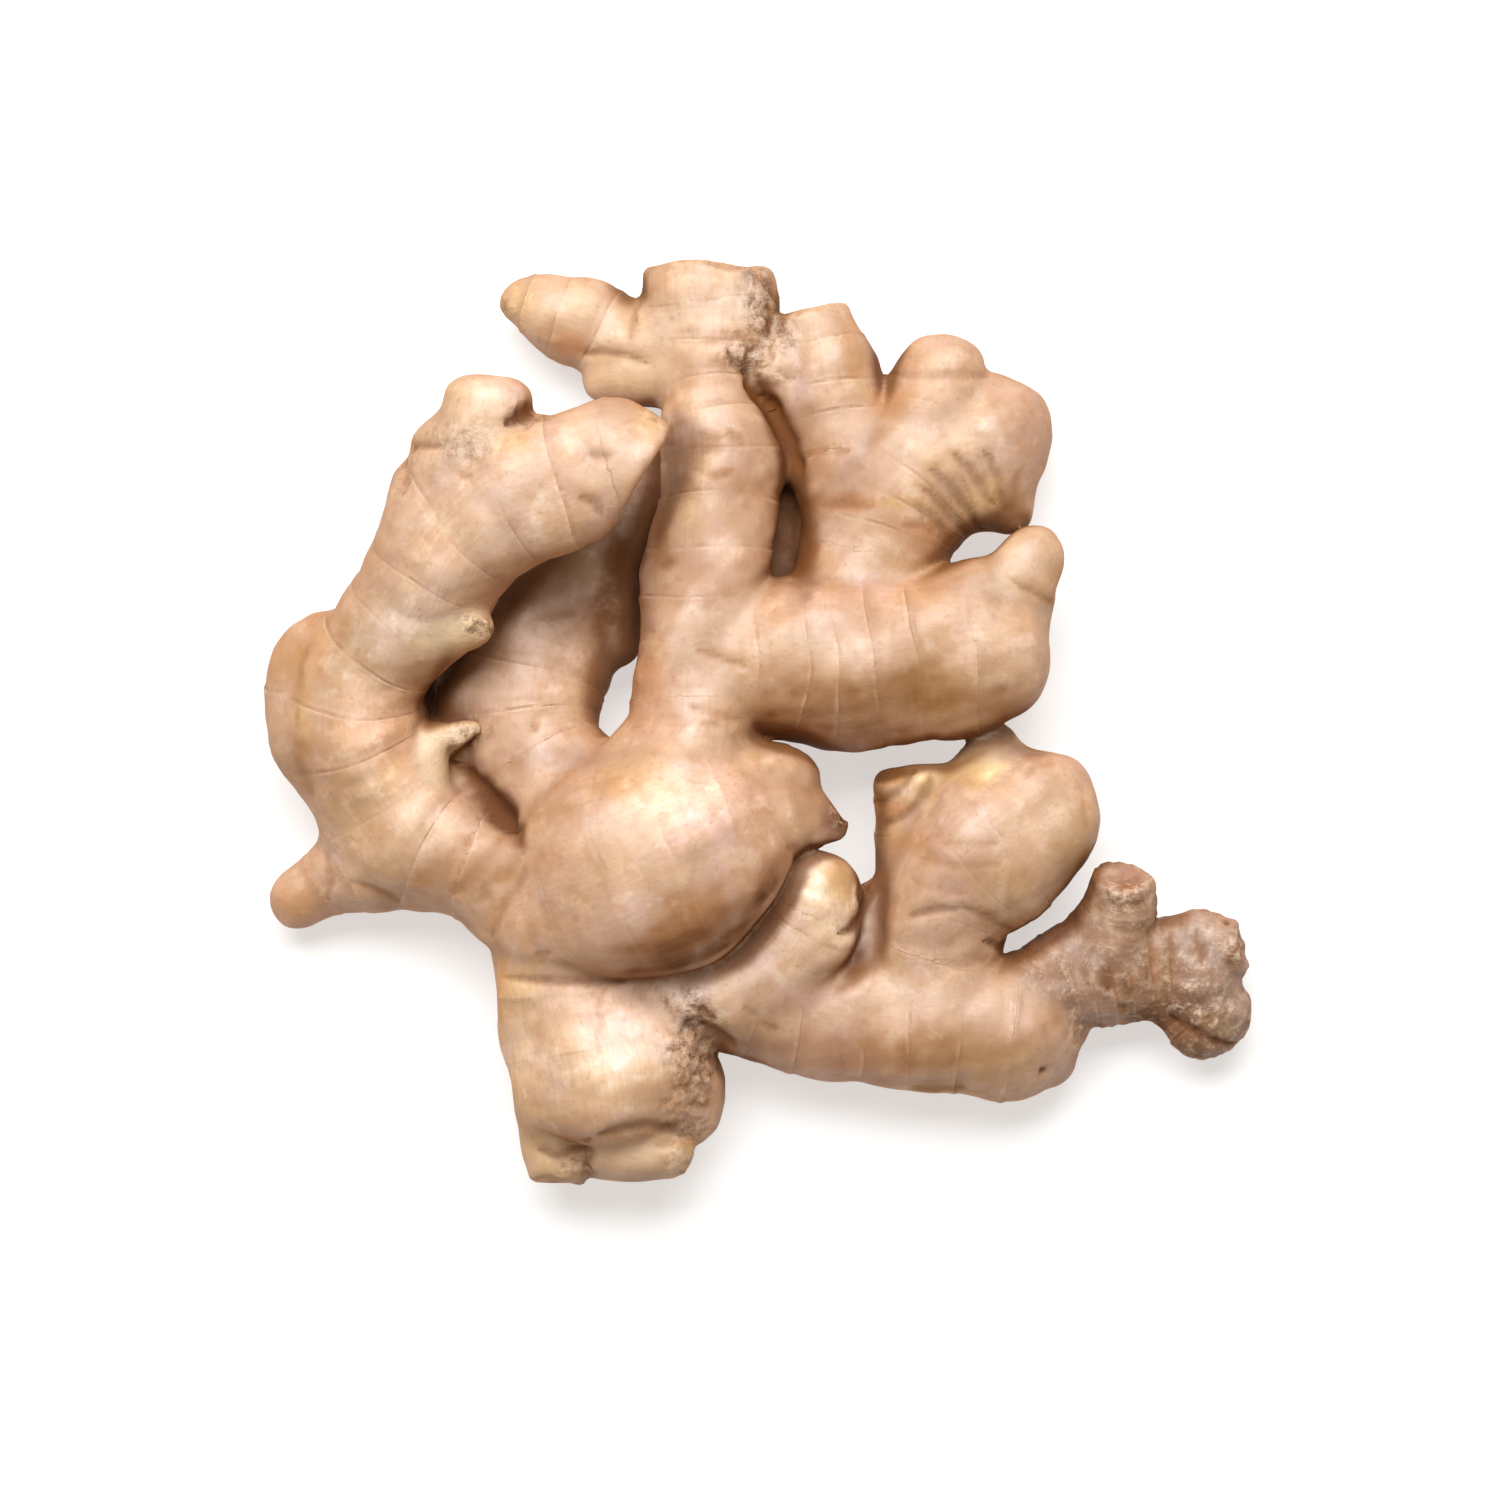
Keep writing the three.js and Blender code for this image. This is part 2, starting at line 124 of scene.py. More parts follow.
LOWER_FINGER = [
    ([10.4, 19.6, 26.9, 38.6, 46.4, 54.5, 62.9], [(-20, -43, 16, 11), (-7.5, -44.6, 15, 10.4),
     (1, -47.3, 12.8, 10.2), (11, -48.7, 11.5, 10.4), (21, -50, 11.1, 11.8), (31.5, -50.9, 11, 12),
     (41, -51.7, 10.8, 11.3), (45.5, -52.4, 10.2, 8.5)], {}),
    ([6.1, 10.2, 12.9], [(2.5, -41, 15, 10.6), (6.9, -34.2, 17.6, 9.5), (8.9, -28.6, 19.3, 7.4)],
     {"join": 3}),
    ([], [(18.5, -42, 12, 6.4), (18.4, -36, 13.4, 4.6), (19.2, -31, 14, 3.4)], {}),
    ([], [(45, -50.5, 10, 6), (51, -51.2, 10, 4)], {}),
    ([], [(43, -55, 8.5, 5.5), (49, -57, 8, 3.8)], {}),
]
BULB = [
    ([5.2, 12.9, 21.1, 28.5], [(28.5, -45, 12.5, 10), (30, -36.5, 13.5, 10.8), (32.5, -27.7, 14.5, 12.4),
     (38, -20.7, 15, 14.3), (44.3, -16.4, 15, 12.8)], {"join": 3, "ringed": 0.6}),
    ([8.3, 11.6], [(30, -24, 13, 9.4), (26.2, -17, 13, 7.6), (26.2, -11.8, 13, 8.3)],
     {"cut": "blunt", "join": 1.5, "bud": 0.3}),
    ([4.6, 8.2], [(40.5, -13.5, 15, 9.5), (39.9, -7.2, 13.2, 6.2), (39.4, -3.3, 10.8, 3.4)],
     {"join": 3, "bud": 0.4}),
]
OLD_BRANCH = [
    ([7.1, 11.9, 15.2, 18.9, 22.1, 25.9, 29.1, 32], [(41, -49.5, 10.5, 9), (50.8, -43.7, 9.8, 8),
     (58.5, -42.2, 9.5, 8.5), (66.3, -41.3, 9.5, 8.6), (72.5, -41.4, 9.5, 7.8)], {"join": 3, "old": 1}),
    ([4.5, 8.7], [(58.3, -39, 11, 6.4), (60, -31.4, 14.5, 6.1), (60.5, -27, 17, 5.7)],
     {"cut": "scar", "join": 1.4, "old": 0.8}),
    ([], [(53.3, -41, 9.5, 5.8), (57.2, -34, 11.5, 3.8)], {"old": 0.5}),
    ([3.4], [(73.3, -37.7, 10, 5.8), (78.9, -37.5, 11.2, 4.9)], {"cut": "scar", "old": 0.9}),
    ([2, 4.7], [(71.5, -45.5, 8.5, 7), (75.8, -50, 8, 6.9)], {"old": 1}),
]
FINGERS = [*HEART, *NECK, *SHADED_FINGER, *RIGHT_FINGER, *TRUNK, *ARM, *UPPER_CLUSTER, *WEB, *LOWER_FINGER,
           *BULB, *OLD_BRANCH]


def core_of(stations, step=0.9):
    """A finger's core: points about step apart on the smooth curve through its stations, where each stretch
    is the cubic that leaves and meets a station along the line between that station's two neighbours. Gives
    the points, the radius and the direction at each one, and its distance along the core."""
    p = np.array(stations, float)
    p = np.vstack([2 * p[0] - p[1], p, 2 * p[-1] - p[-2]])
    t = np.linspace(0, len(stations) - 1, FINE * (len(stations) - 1) + 1)
    i = np.minimum(t.astype(int), len(stations) - 2)
    w = (t - i)[:, None]
    a, b, c, d = p[i], p[i + 1], p[i + 2], p[i + 3]
    fine = ((2 * w**3 - 3 * w**2 + 1) * b + (w**3 - 2 * w**2 + w) * (c - a) / 2
            + (3 * w**2 - 2 * w**3) * c + (w**3 - w**2) * (d - b) / 2)
    run = np.r_[0, np.cumsum(np.linalg.norm(np.diff(fine[:, :3], axis=0), axis=1))]
    s = np.linspace(0, run[-1], max(4, int(run[-1] / step) + 1))
    even = np.stack([np.interp(s, run, fine[:, k]) for k in range(4)], axis=1)
    along = np.gradient(even[:, :3], s, axis=0)
    along /= np.linalg.norm(along, axis=1, keepdims=True)
    return even[:, :3], even[:, 3], along, s


cores = [core_of(stations) for _, stations, _ in FINGERS]

# ------------------------------------------------------------------------------
# The body of the rhizome: living flesh that swells where fingers meet, so that each finger's foot flares
# into the next one. Its surface is where a formula for the distance to the skin is zero, found on a grid of
# small cubes.

SNUG = 1.2  # how widely the skins of two fingers that touch flow into each other
CELL = 0.86  # side of a cube of the grid
GRID_LOW = np.array([-90.0, -85.0, -3.0])
GRID_HIGH = np.array([90.0, 85.0, 52.0])
REACH = 8.0  # how far from a finger's skin the distance is worked out
BEYOND = 9.0  # the distance that stands for everything farther off
FOOT = 1.5  # how far a finger's foot flares, in radii of its first station

# The slow unevenness: how fast each wave runs along x, y and z, in radians per millimetre, and its phase.
WAVES = np.array([(0.21, 0.13, 0.1, 0.4), (-0.12, 0.24, 0.17, 2.1), (0.33, -0.29, 0.22, 4.0)])
LUMP = 0.4  # the most that one wave adds or takes

# A cut end, in radii of the finger's tip: how far past the last station it is cut, and how widely the rim
# is rounded. A scar is also dished.
CUTS = {"scar": (0.4, 0.15), "blunt": (0.6, 0.5)}
DISH_DEPTH = 0.15
DISH_RADIUS = 0.5
CUT_REACH = 1.9  # the cut takes nothing farther than this from the last station


def lump_at(x, y, z):
    """The slow unevenness at a place: LUMP times the sum of the sines of the waves there."""
    return LUMP * sum(np.sin(a * x + b * y + c * z + phase) for a, b, c, phase in WAVES)


def blend_min(a, b, width):
    """The lesser of two distances, rounded off where they differ by less than width, as a fillet is."""
    h = np.maximum(width - np.abs(a - b), 0) / width
    return np.minimum(a, b) - h * h * width / 4


def cut_end(own, places, kind, core):
    """A finger's distance once its end is cut: the greater of it and the distance past a plane across the
    tip, rounded off where they meet. A scar's plane is dished by a bell of the distance from its middle."""
    past, rounded = CUTS[kind]
    centre, radius, along = core[0][-1], core[1][-1], core[2][-1]
    x, y, z = (places[k] - centre[k] for k in range(3))
    away2 = x * x + y * y + z * z
    on = x * along[0] + y * along[1] + z * along[2]
    plane = on - past * radius
    if kind == "scar":
        plane = plane + DISH_DEPTH * radius * np.exp(-(away2 - on * on) / (DISH_RADIUS * radius) ** 2)
    cut = -blend_min(-own, -plane, rounded * radius)
    return np.where(away2 < (CUT_REACH * radius) ** 2, cut, own)


count = np.ceil((GRID_HIGH - GRID_LOW) / CELL).astype(int)
axes = [(GRID_LOW[k] + CELL * np.arange(count[k])).astype(np.float32) for k in range(3)]
field = np.full(count, BEYOND, np.float32)

# Each finger is swept as a row of flattened balls in its own part of the grid, and then joined to the rest.
for (_, _, more), core in zip(FINGERS, cores):
    centres, radii, _, _ = core
    flat = more.get("flat", FLATNESS)
    first = np.floor(((centres - radii[:, None] - REACH).min(0) - GRID_LOW) / CELL).astype(int).clip(0)
    last = np.ceil(((centres + radii[:, None] + REACH).max(0) - GRID_LOW) / CELL).astype(int)
    own = np.full(np.minimum(last, count) - first, BEYOND, np.float32)
    box = tuple(slice(first[k], first[k] + own.shape[k]) for k in range(3))
    for centre, radius in zip(centres, radii):
        a = np.floor((centre - radius - REACH - GRID_LOW) / CELL).astype(int).clip(first) - first
        b = np.ceil((centre + radius + REACH - GRID_LOW) / CELL).astype(int) - first
        window = tuple(slice(a[k], b[k]) for k in range(3))
        x, y, z = np.ix_(*(axes[k][box[k]][window[k]] - centre[k] for k in range(3)))
        distance = np.sqrt(x * x + y * y + (z / flat) ** 2) - radius
        np.minimum(own[window], distance, out=own[window])
    places = np.ix_(*(axes[k][box[k]] for k in range(3)))
    if "cut" in more:
        own = cut_end(own, places, more["cut"], core)
    foot2 = sum((places[k] - centres[0][k]) ** 2 for k in range(3))
    snug = more.get("snug", SNUG)
    join = snug + (more.get("join", snug) - snug) * np.exp(-foot2 / (FOOT * radii[0]) ** 2)
    field[box] = blend_min(field[box], own, join)

places = np.ix_(*axes)
field -= lump_at(*places).astype(np.float32)
field = np.maximum(field, -places[2])  # cut level where it lies


def surface_of(field):
    """The surface where the field is zero, with one point for each cube that it passes through, at the mean
    of where it crosses the cube's edges, and one quad for each of the grid's edges that it crosses."""
    inside = field < 0
    corners = [(i, j, k) for i in (0, 1) for j in (0, 1) for k in (0, 1)]
    size = np.array(field.shape) - 1
    held = sum(inside[i:i + size[0], j:j + size[1], k:k + size[2]].astype(np.int8) for i, j, k in corners)
    cubes = np.argwhere((held > 0) & (held < 8))
    number = np.full(size, -1, np.int64)
    number[tuple(cubes.T)] = np.arange(len(cubes))
    total = np.zeros((len(cubes), 3))
    crossings = np.zeros(len(cubes))
    for a in corners:
        for axis in range(3):
            if a[axis]:
                continue
            b = tuple(1 if k == axis else a[k] for k in range(3))
            fa = field[tuple((cubes + a).T)]
            fb = field[tuple((cubes + b).T)]
            crossed = (fa < 0) != (fb < 0)
            share = np.where(crossed, fa / np.where(crossed, fa - fb, 1), 0)
            place = np.tile(np.array(a, float), (len(cubes), 1))
            place[:, axis] += share
            total += place * crossed[:, None]
            crossings += crossed
    points = GRID_LOW + CELL * (cubes + total / crossings[:, None])
    quads = []
    for axis in range(3):
        u, v = (axis + 1) % 3, (axis + 2) % 3
        step = np.zeros(3, int)
        step[axis] = 1
        head = tuple(slice(1, None) if k == axis else slice(1, -1) for k in range(3))
        tail = tuple(slice(None, -1) if k == axis else slice(1, -1) for k in range(3))
        crossed = np.argwhere(inside[head] != inside[tail]) + (1 - step)
        back_u, back_v = np.eye(3, dtype=int)[u], np.eye(3, dtype=int)[v]
        ring = [crossed, crossed - back_u, crossed - back_u - back_v, crossed - back_v]
        quad = np.stack([number[tuple(cube.T)] for cube in ring], axis=1)
        outward = inside[tuple(crossed.T)]
        quads.append(np.where(outward[:, None], quad, quad[:, ::-1]))
    return points, np.vstack(quads)


def field_at(points):
    """The field and its slope at any points, from the eight grid values round each, weighted by
    closeness."""
    at = (points - GRID_LOW) / CELL
    i = np.clip(np.floor(at).astype(int), 0, np.array(field.shape) - 2)
    f = at - i
    value, slope = np.zeros(len(points)), np.zeros((len(points), 3))
    for corner in np.ndindex(2, 2, 2):
        held = field[tuple((i + corner).T)]
        side = np.where(corner, f, 1 - f)
        sign = np.where(corner, 1.0, -1.0)
        value += held * side.prod(axis=1)
        for k in range(3):
            slope[:, k] += held * sign[k] * side[:, (k + 1) % 3] * side[:, (k + 2) % 3] / CELL
    return value, slope


def settle(points, quads, rounds=4, ease=0.6):
    """Each round moves every point the share ease of the way to the mean of its neighbours, which evens the
    quads out, and then back along the slope to where the field is zero."""
    a, b = quads.ravel(), np.roll(quads, -1, axis=1).ravel()
    many = len(points)
    degree = np.bincount(a, minlength=many) + np.bincount(b, minlength=many)
    for _ in range(rounds):
        total = np.stack([np.bincount(a, points[b, k], many) + np.bincount(b, points[a, k], many)
                          for k in range(3)], axis=1)
        points = points + ease * (total / degree[:, None] - points)
        for _ in range(2):
            value, slope = field_at(points)
            steep = np.maximum((slope**2).sum(axis=1), 0.1)  # so that no point leaps
            points = points - (value / steep)[:, None] * slope
    return points


def normals_of(points, quads):
    """Each point's normal: the sum of the cross products of the diagonals of the quads round it, made a
    unit long."""
    corner = points[quads]
    face = np.cross(corner[:, 2] - corner[:, 0], corner[:, 3] - corner[:, 1])
    total = np.stack([np.bincount(quads.ravel(), np.repeat(face[:, k], 4), len(points)) for k in range(3)],
                     axis=1)
    return total / np.maximum(np.linalg.norm(total, axis=1, keepdims=True), 1e-9)


points, quads = surface_of(field)
points = settle(points, quads)
normals = normals_of(points, quads)

# ------------------------------------------------------------------------------
# The skin's relief. At each leaf ring a dry scale leaf once wrapped the finger: it left a thin raised lip,
# a step down towards the tip, and a little swelling before the next. The rings wander and fade, and stop
# where fingers meet.

RING_LIP = 0.2  # height of a lip
LIP_WIDTH = 0.9  # how far it spreads to each side
RING_STEP = 0.36  # the drop beyond it
STEP_EDGE = 0.6  # how far on the skin has dropped
STEP_LENGTH = 2.4  # how far on the skin has come most of the way back up
SWELL = 0.3  # how much fuller the skin is midway between two rings
SWELL_GAP = 14  # between rings farther apart than this it is less,
SWELL_FADE = 10  # and between those this much farther apart still there is none
WANDER = 0.5  # how far the rings stray
LEAN = 0.08  # the most that they lean, as a slope
NEAR = 4  # how far from a finger its relief is worked out
SOFT = 0.5  # how gradually one finger's relief gives way to the next one's where they meet
CLEAR = 2.5  # how far from the next finger the relief is whole
CLEFT_WIDTH = 1.2  # how near two fingers' skins are in a cleft
RUN_OUT = 60  # how far beyond a finger's two ends the next rings would be
APART = 37.0  # how far apart two fingers' fibres start, so that no two are alike
FAR = 99.0  # the distance that stands for out of reach
chance = np.random.default_rng(7)


def drift(p, scale, waves=9):
    """A smooth random height of about -1 to 1 at each point: a sum of sines that run in random directions,
    whose wavelengths are between scale and half of it."""
    directions = chance.normal(size=(waves, 3))
    lengths = scale * chance.uniform(0.5, 1.0, waves)
    directions *= (2 * np.pi / lengths / np.linalg.norm(directions, axis=1))[:, None]
    total = np.sin(p @ directions.T + chance.uniform(0, 2 * np.pi, waves)).sum(axis=1)
    return total / np.sqrt(waves / 2) / 1.6


def along_finger(p, core, flat, blur=0.6):
    """Where points lie beside a finger: the distance to its skin, how far along the core they are, on past
    its ends, and their offsets from the core to its left and upwards. The last three are means over the
    core's points, and one that is farther off by blur weighs e times less, so that nothing jumps where the
    core bends."""
    centres, radii, along, s = core
    away = p[:, None, :] - centres[None]
    distance = np.sqrt(away[..., 0] ** 2 + away[..., 1] ** 2 + (away[..., 2] / flat) ** 2) - radii
    nearest = distance.min(axis=1)
    share = np.exp((nearest[:, None] - distance) / blur)
    share /= share.sum(axis=1, keepdims=True)
    left = np.cross([0.0, 0.0, 1.0], along)
    left /= np.linalg.norm(left, axis=1, keepdims=True)
    on, aside, over = ((away * way).sum(axis=2) for way in (along, left, np.cross(along, left)))
    return nearest, (share * (s + on)).sum(axis=1), (share * aside).sum(axis=1), (share * over).sum(axis=1)


# What each finger by itself would give each point near it: one row for each finger.
nearness = np.full((len(FINGERS), len(points)), FAR)
ring_at, ring_gap, relief = (np.zeros(nearness.shape) for _ in range(3))
unrolled = np.zeros((*nearness.shape, 3), np.float32)
wander = drift(points, 26)
ripple = drift(points, 6)
fading = np.clip(0.75 + 0.7 * drift(points, 20), 0.15, 1.2)
for k, ((rings, _, more), core) in enumerate(zip(FINGERS, cores)):
    centres, radii, _, s = core
    reach = radii.max() + NEAR
    inside = (points > centres.min(0) - reach) & (points < centres.max(0) + reach)
    near = np.flatnonzero(inside.all(axis=1))
    distance, on, left, over = along_finger(points[near], core, more.get("flat", FLATNESS))
    nearness[k, near] = np.abs(distance - lump_at(*points[near].T))
    places = np.array([-RUN_OUT, *rings, s[-1] + RUN_OUT])
    lean = chance.uniform(-LEAN, LEAN, 2)
    place = on + lean[0] * left + lean[1] * over + WANDER * wander[near]
    phase = np.interp(place, places, np.arange(len(places)))
    span = np.diff(places)[np.clip(phase.astype(int), 0, len(places) - 2)]
    share = phase - np.floor(phase)
    past, ahead = share * span, (1 - share) * span
    lip = RING_LIP * np.exp(-(np.minimum(past, ahead) / LIP_WIDTH) ** 2)
    step = -RING_STEP * np.exp(-past / STEP_LENGTH) * (1 - np.exp(-(past / STEP_EDGE) ** 2))
    swell = SWELL * (4 * share * (1 - share) - 0.6) * np.clip(1 - (span - SWELL_GAP) / SWELL_FADE, 0, 1)
    if rings:
        relief[k, near] = ((lip + step) * fading[near] + swell) * more.get("ringed", 1)
    ring_at[k, near] = phase
    ring_gap[k, near] = span
    unrolled[k, near] = np.stack([on + APART * k, left, over], axis=1)

every = np.arange(len(points))
best, second = np.argsort(nearness, axis=0)[:2]
nearest, next_nearest = nearness[best, every], nearness[second, every]
weight = np.exp(-(nearness - nearest) / SOFT)
weight /= weight.sum(axis=0)
settled = np.clip((next_nearest - nearest) / CLEAR, 0, 1)
height = (weight * relief).sum(axis=0) * settled
# How near a point is to a cleft where two fingers meet; painted shade darkens the colour there.
cleft = np.exp(-((nearest + next_nearest) / CLEFT_WIDTH) ** 2)

# How much other flesh shuts a point in: at each of a few steps straight out from the skin, the share by
# which the distance to the nearest skin falls short of the step. The colour is darkened by it as painted
# shade.
sheltered = np.zeros(len(points))
for out, share in ((3, 0.25), (6, 0.35), (10, 0.4)):
    value, _ = field_at(points + out * normals)
    sheltered += share * np.clip(1 - value / out, 0, 1)

# The folds, nicks and tears of the upper skin, each as its depth, its width and the points x, y that it
# runs through. The narrower ones also get a dark line of painted shade; those of the width WIDE or more are
# soft hollows and get none.
WIDE = 2
FOLDS = [
    (1.2, 1.5, (-35.8, 52.2), (-38.3, 50.5), (-41.3, 48.8)),
    (0.5, 1, (-60.3, 44.8), (-55.8, 45.5), (-51.7, 45)),
    (0.35, 0.8, (-58.7, 43.2), (-57.8, 40.2), (-59.2, 36.8)), (0.3, 1, (-49.7, 40.5), (-47, 39.8)),
    (0.3, 1, (-28, 43.8), (-24.2, 43.5)), (0.5, 1.3, (-29.7, 36.8), (-27.2, 35.5), (-25.7, 33.5)),
    (0.2, 1.4, (-75.7, 11.8), (-77, 5.2), (-77.7, -2.3), (-76.2, -9), (-74.7, -12.3)),
    (0.25, 1.6, (-43, -19.5), (-46, -23.5), (-48.3, -26.5), (-51.3, -28.8)),
    (0.2, 1.3, (-39.3, -21.8), (-42.2, -25.2), (-45.5, -27.8), (-47, -30.8)),
    (0.15, 1.5, (-48.3, -19), (-52.3, -24.2), (-57.5, -26.5)),
    (0.25, 0.8, (-69.2, -26.2), (-64.2, -28.2), (-60, -30.2)),
    (0.3, 0.8, (-73, -21.8), (-71.7, -25.7), (-72.3, -29.8)),
    (0.3, 1.2, (-38.7, -24), (-40.3, -28.5), (-43.3, -31.2), (-44.5, -35.7)),
    (1.6, 3, (-51.3, -5.2), (-48, -10.2), (-44.7, -14.2), (-41, -17.5)),
    (1.4, 1.2, (-50, -6.8), (-47, -11.2), (-43.8, -15.2), (-40.7, -17.8)),
    (0.5, 1.1, (-42.8, -42.5), (-35, -43), (-26.7, -43.3), (-22.5, -43)),
    (0.25, 0.9, (-37.5, -38.7), (-34.7, -38.5)), (0.3, 1, (4.2, -20.7), (6.7, -21.5), (9.2, -20.8)),
    (0.2, 0.8, (-26.2, -44), (-26.7, -51.5), (-27.2, -55.7)), (0.35, 0.8, (-16, -54.2), (-13, -54.7)),
    (0.4, 0.8, (-16.5, -56.8), (-13.3, -57.2)), (0.35, 0.8, (-14.7, -61.2), (-11.3, -60.7)),
    (0.3, 0.7, (-12, -55.7), (-8, -56.5)), (0.3, 0.7, (-11.7, -58.8), (-7.7, -59.2)),
    (0.3, 0.7, (-12, -63.8), (-7.3, -63.7)), (0.3, 0.7, (-16.7, -63.2), (-13.3, -63.8)),
    (0.3, 0.7, (-16, -45.7), (-14.7, -48.5)), (0.3, 0.7, (-13.3, -44), (-12, -46.8)),
    (0.3, 0.7, (-17.5, -44), (-16, -46.5)), (0.3, 0.8, (-15.3, -50.7), (-13.3, -52.5)),
    (2.2, 2, (-12.3, -50.2), (-10, -51.2), (-7.5, -52.8), (-5, -54.5)),
    (0.8, 1, (-11.7, -47), (-9.2, -47.8), (-7, -49.2)),
    (0.5, 1.1, (-26.7, -68.8), (-23, -67.5), (-18.7, -66.8), (-14.7, -68), (-11, -69.8)),
    (0.3, 0.8, (-17.5, -70.5), (-14.3, -70.3)),
    (0.5, 1.1, (-37.3, -71.8), (-34, -72.8), (-30.8, -71.5), (-28, -69.5)),
    (0.25, 0.9, (-34.2, -57.5), (-30.3, -57.3)), (0.6, 0.9, (-5.5, 61.8), (-4.2, 59.5), (-1.7, 57.2)),
    (0.25, 0.8, (-11.3, 48.3), (-8, 46.8), (-6.3, 47.5)), (0.25, 0.8, (-10, 44.8), (-6.3, 45.3)),
    (0.25, 0.8, (-5.5, 48.5), (-2.3, 46)), (0.2, 0.8, (-11.3, 41.8), (-7.5, 40.5), (-4.2, 41.8)),
    (0.3, 0.8, (0.3, 67.2), (1.3, 70.2)), (0.35, 0.8, (-0.8, 75.5), (1.3, 72.7), (2.5, 70.5)),
    (0.3, 0.7, (-0.3, 64.8), (0.7, 66.5)), (0.3, 0.7, (-6.7, 64.7), (-5.5, 65)),
    (0.3, 0.8, (-10, 62.8), (-4.2, 64.2), (0, 63.2)), (0.4, 0.8, (1.7, 62.7), (2, 60.2)),
    (0.4, 0.8, (-3, 59.8), (0.8, 59.2)), (0.35, 0.8, (2.5, 58.2), (5.8, 57.2)),
    (0.3, 0.8, (-8.7, 76.5), (-5.3, 75.5), (-2, 75.5)),
    (0.3, 0.8, (-20.5, 70.2), (-21.3, 66.8), (-22, 63.5)),
    (0.5, 0.9, (-29.5, 61.5), (-26.7, 62.2), (-22.5, 61.5), (-18.7, 59.8)),
    (0.3, 0.8, (-10.3, 11.8), (-6.3, 10.7), (-2.3, 8.8)), (0.25, 0.8, (-11.7, 2.3), (-7.3, 1.5), (-3, 0.2)),
    (0.25, 0.8, (-9.7, -0.2), (-6.3, -0.5)), (0.4, 0.9, (42.3, 22.8), (45.7, 21.5), (49.3, 19.5)),
    (0.2, 0.8, (-20, 14.8), (-17.5, 14.7)), (0.3, 1.1, (22.2, 58.2), (27.5, 57.8), (32.5, 58), (38, 57.7)),
    (0.48, 1.2, (28.3, 41.8), (31.7, 39.2), (34.7, 35.8), (36.7, 32.2)),
    (0.42, 1.2, (32, 44.3), (35.3, 41.5), (39, 36.3)), (0.48, 1.2, (26.8, 39), (31.3, 35.5), (34.7, 31.2)),
    (0.4, 1.2, (37.5, 44.7), (39.8, 40.2), (41, 35.2)), (0.35, 1.1, (25.3, 36.2), (29.3, 33.5), (32, 30.2)),
    (0.3, 1.1, (43.3, 41.8), (42.3, 37.7), (41.7, 34.8)),
    (0.3, 0.9, (23.7, 32.2), (27, 32.7), (29.7, 31), (31.7, 29)),
    (0.25, 0.9, (9.7, 36.5), (14.2, 36.2), (18.7, 35.7)), (0.25, 0.8, (7.2, 44.8), (15, 45)),
    (1, 1.3, (-2.5, 56.8), (1.3, 53), (4.7, 47.5), (6.5, 42.2)),
    (0.8, 1.1, (17.7, -24.5), (18.3, -28.2), (17.5, -31.8), (15, -34.8), (13, -35.3)),
    (0.8, 1, (46.7, -58.3), (47.5, -58.7)), (0.3, 0.9, (0.8, -50.2), (3, -51.5)),
    (0.3, 1.1, (25.8, -61.3), (30.8, -61.7), (34.2, -61.2)), (0.3, 0.9, (-3, -47), (-0.3, -48.5)),
    (0.5, 1, (24.2, -32.5), (28.3, -31.3), (32.8, -31.2)),
    (0.3, 0.9, (33, -30.7), (37.5, -32.7), (41.7, -34.8)),
    (0.3, 0.9, (29.2, -40.2), (34.2, -40.7), (38.3, -39.5)),
    (0.6, 1, (37.5, -36.8), (40.5, -38), (42.5, -37.2)),
    (0.5, 1.1, (18.3, -9.8), (21.3, -9.2), (24.3, -7.8)),
    (0.5, 1.1, (18, -14.2), (21, -12.8), (23.7, -10.5), (25.7, -7.5)),
    (0.5, 1.1, (20.7, -17.2), (24.3, -15.2), (27.3, -11.8), (29, -8.8)),
    (0.3, 0.9, (30.8, -10.7), (29.7, -13.2), (27.5, -15.7)),
    (0.25, 0.9, (43.7, -9.5), (45.8, -7.3), (49.2, -7.2)), (0.2, 0.8, (53.8, -12.8), (54.2, -17.8)),
    (0.2, 0.8, (27.5, -19.5), (33.3, -20.7), (39.2, -20.2)),
    (0.2, 0.8, (26.7, -22.8), (33.3, -24.2), (40, -23.5)), (0.2, 0.8, (27.5, -27.3), (34.2, -28.7)),
    (0.5, 1.3, (57.8, -40.8), (58.3, -44.8)), (0.4, 1, (61.3, -42.3), (61.7, -46.2)),
    (0.3, 0.8, (65, -34.8), (65.3, -39.8), (65, -44)),
    (0.3, 0.8, (68.5, -34.8), (68.7, -39.8), (68.3, -44)), (0.3, 0.8, (73.3, -34.8), (73.8, -40.7)),
    (0.9, 1, (68.3, -49.5), (72.5, -51.5), (76.7, -53.7), (80, -54.5)),
    (0.6, 0.9, (77.5, -33.3), (78.5, -33.5)), (0.6, 0.9, (80.3, -33.5), (81, -33.5)),
    (0.4, 0.9, (58.8, -30.3), (61.3, -31.2), (64.2, -30.2)),
    (0.35, 0.9, (59.2, -34.5), (61.7, -35.2), (64.7, -34.2)), (0.4, 0.9, (74.2, -49), (75.8, -50.3)),
    (0.35, 0.9, (77.5, -40.2), (80, -40.7)), (0.4, 0.9, (60, -47.3), (61.3, -49)),
    (0.3, 0.8, (53.7, -40.2), (55, -44)), (0.3, 0.8, (50, -34), (52.5, -32.3)),
    (0.25, 0.8, (-37.8, 17.3), (-34.2, 17.8), (-30.5, 18.3)), (0.2, 0.8, (-38.3, -0.2), (-37, -1.5)),
]


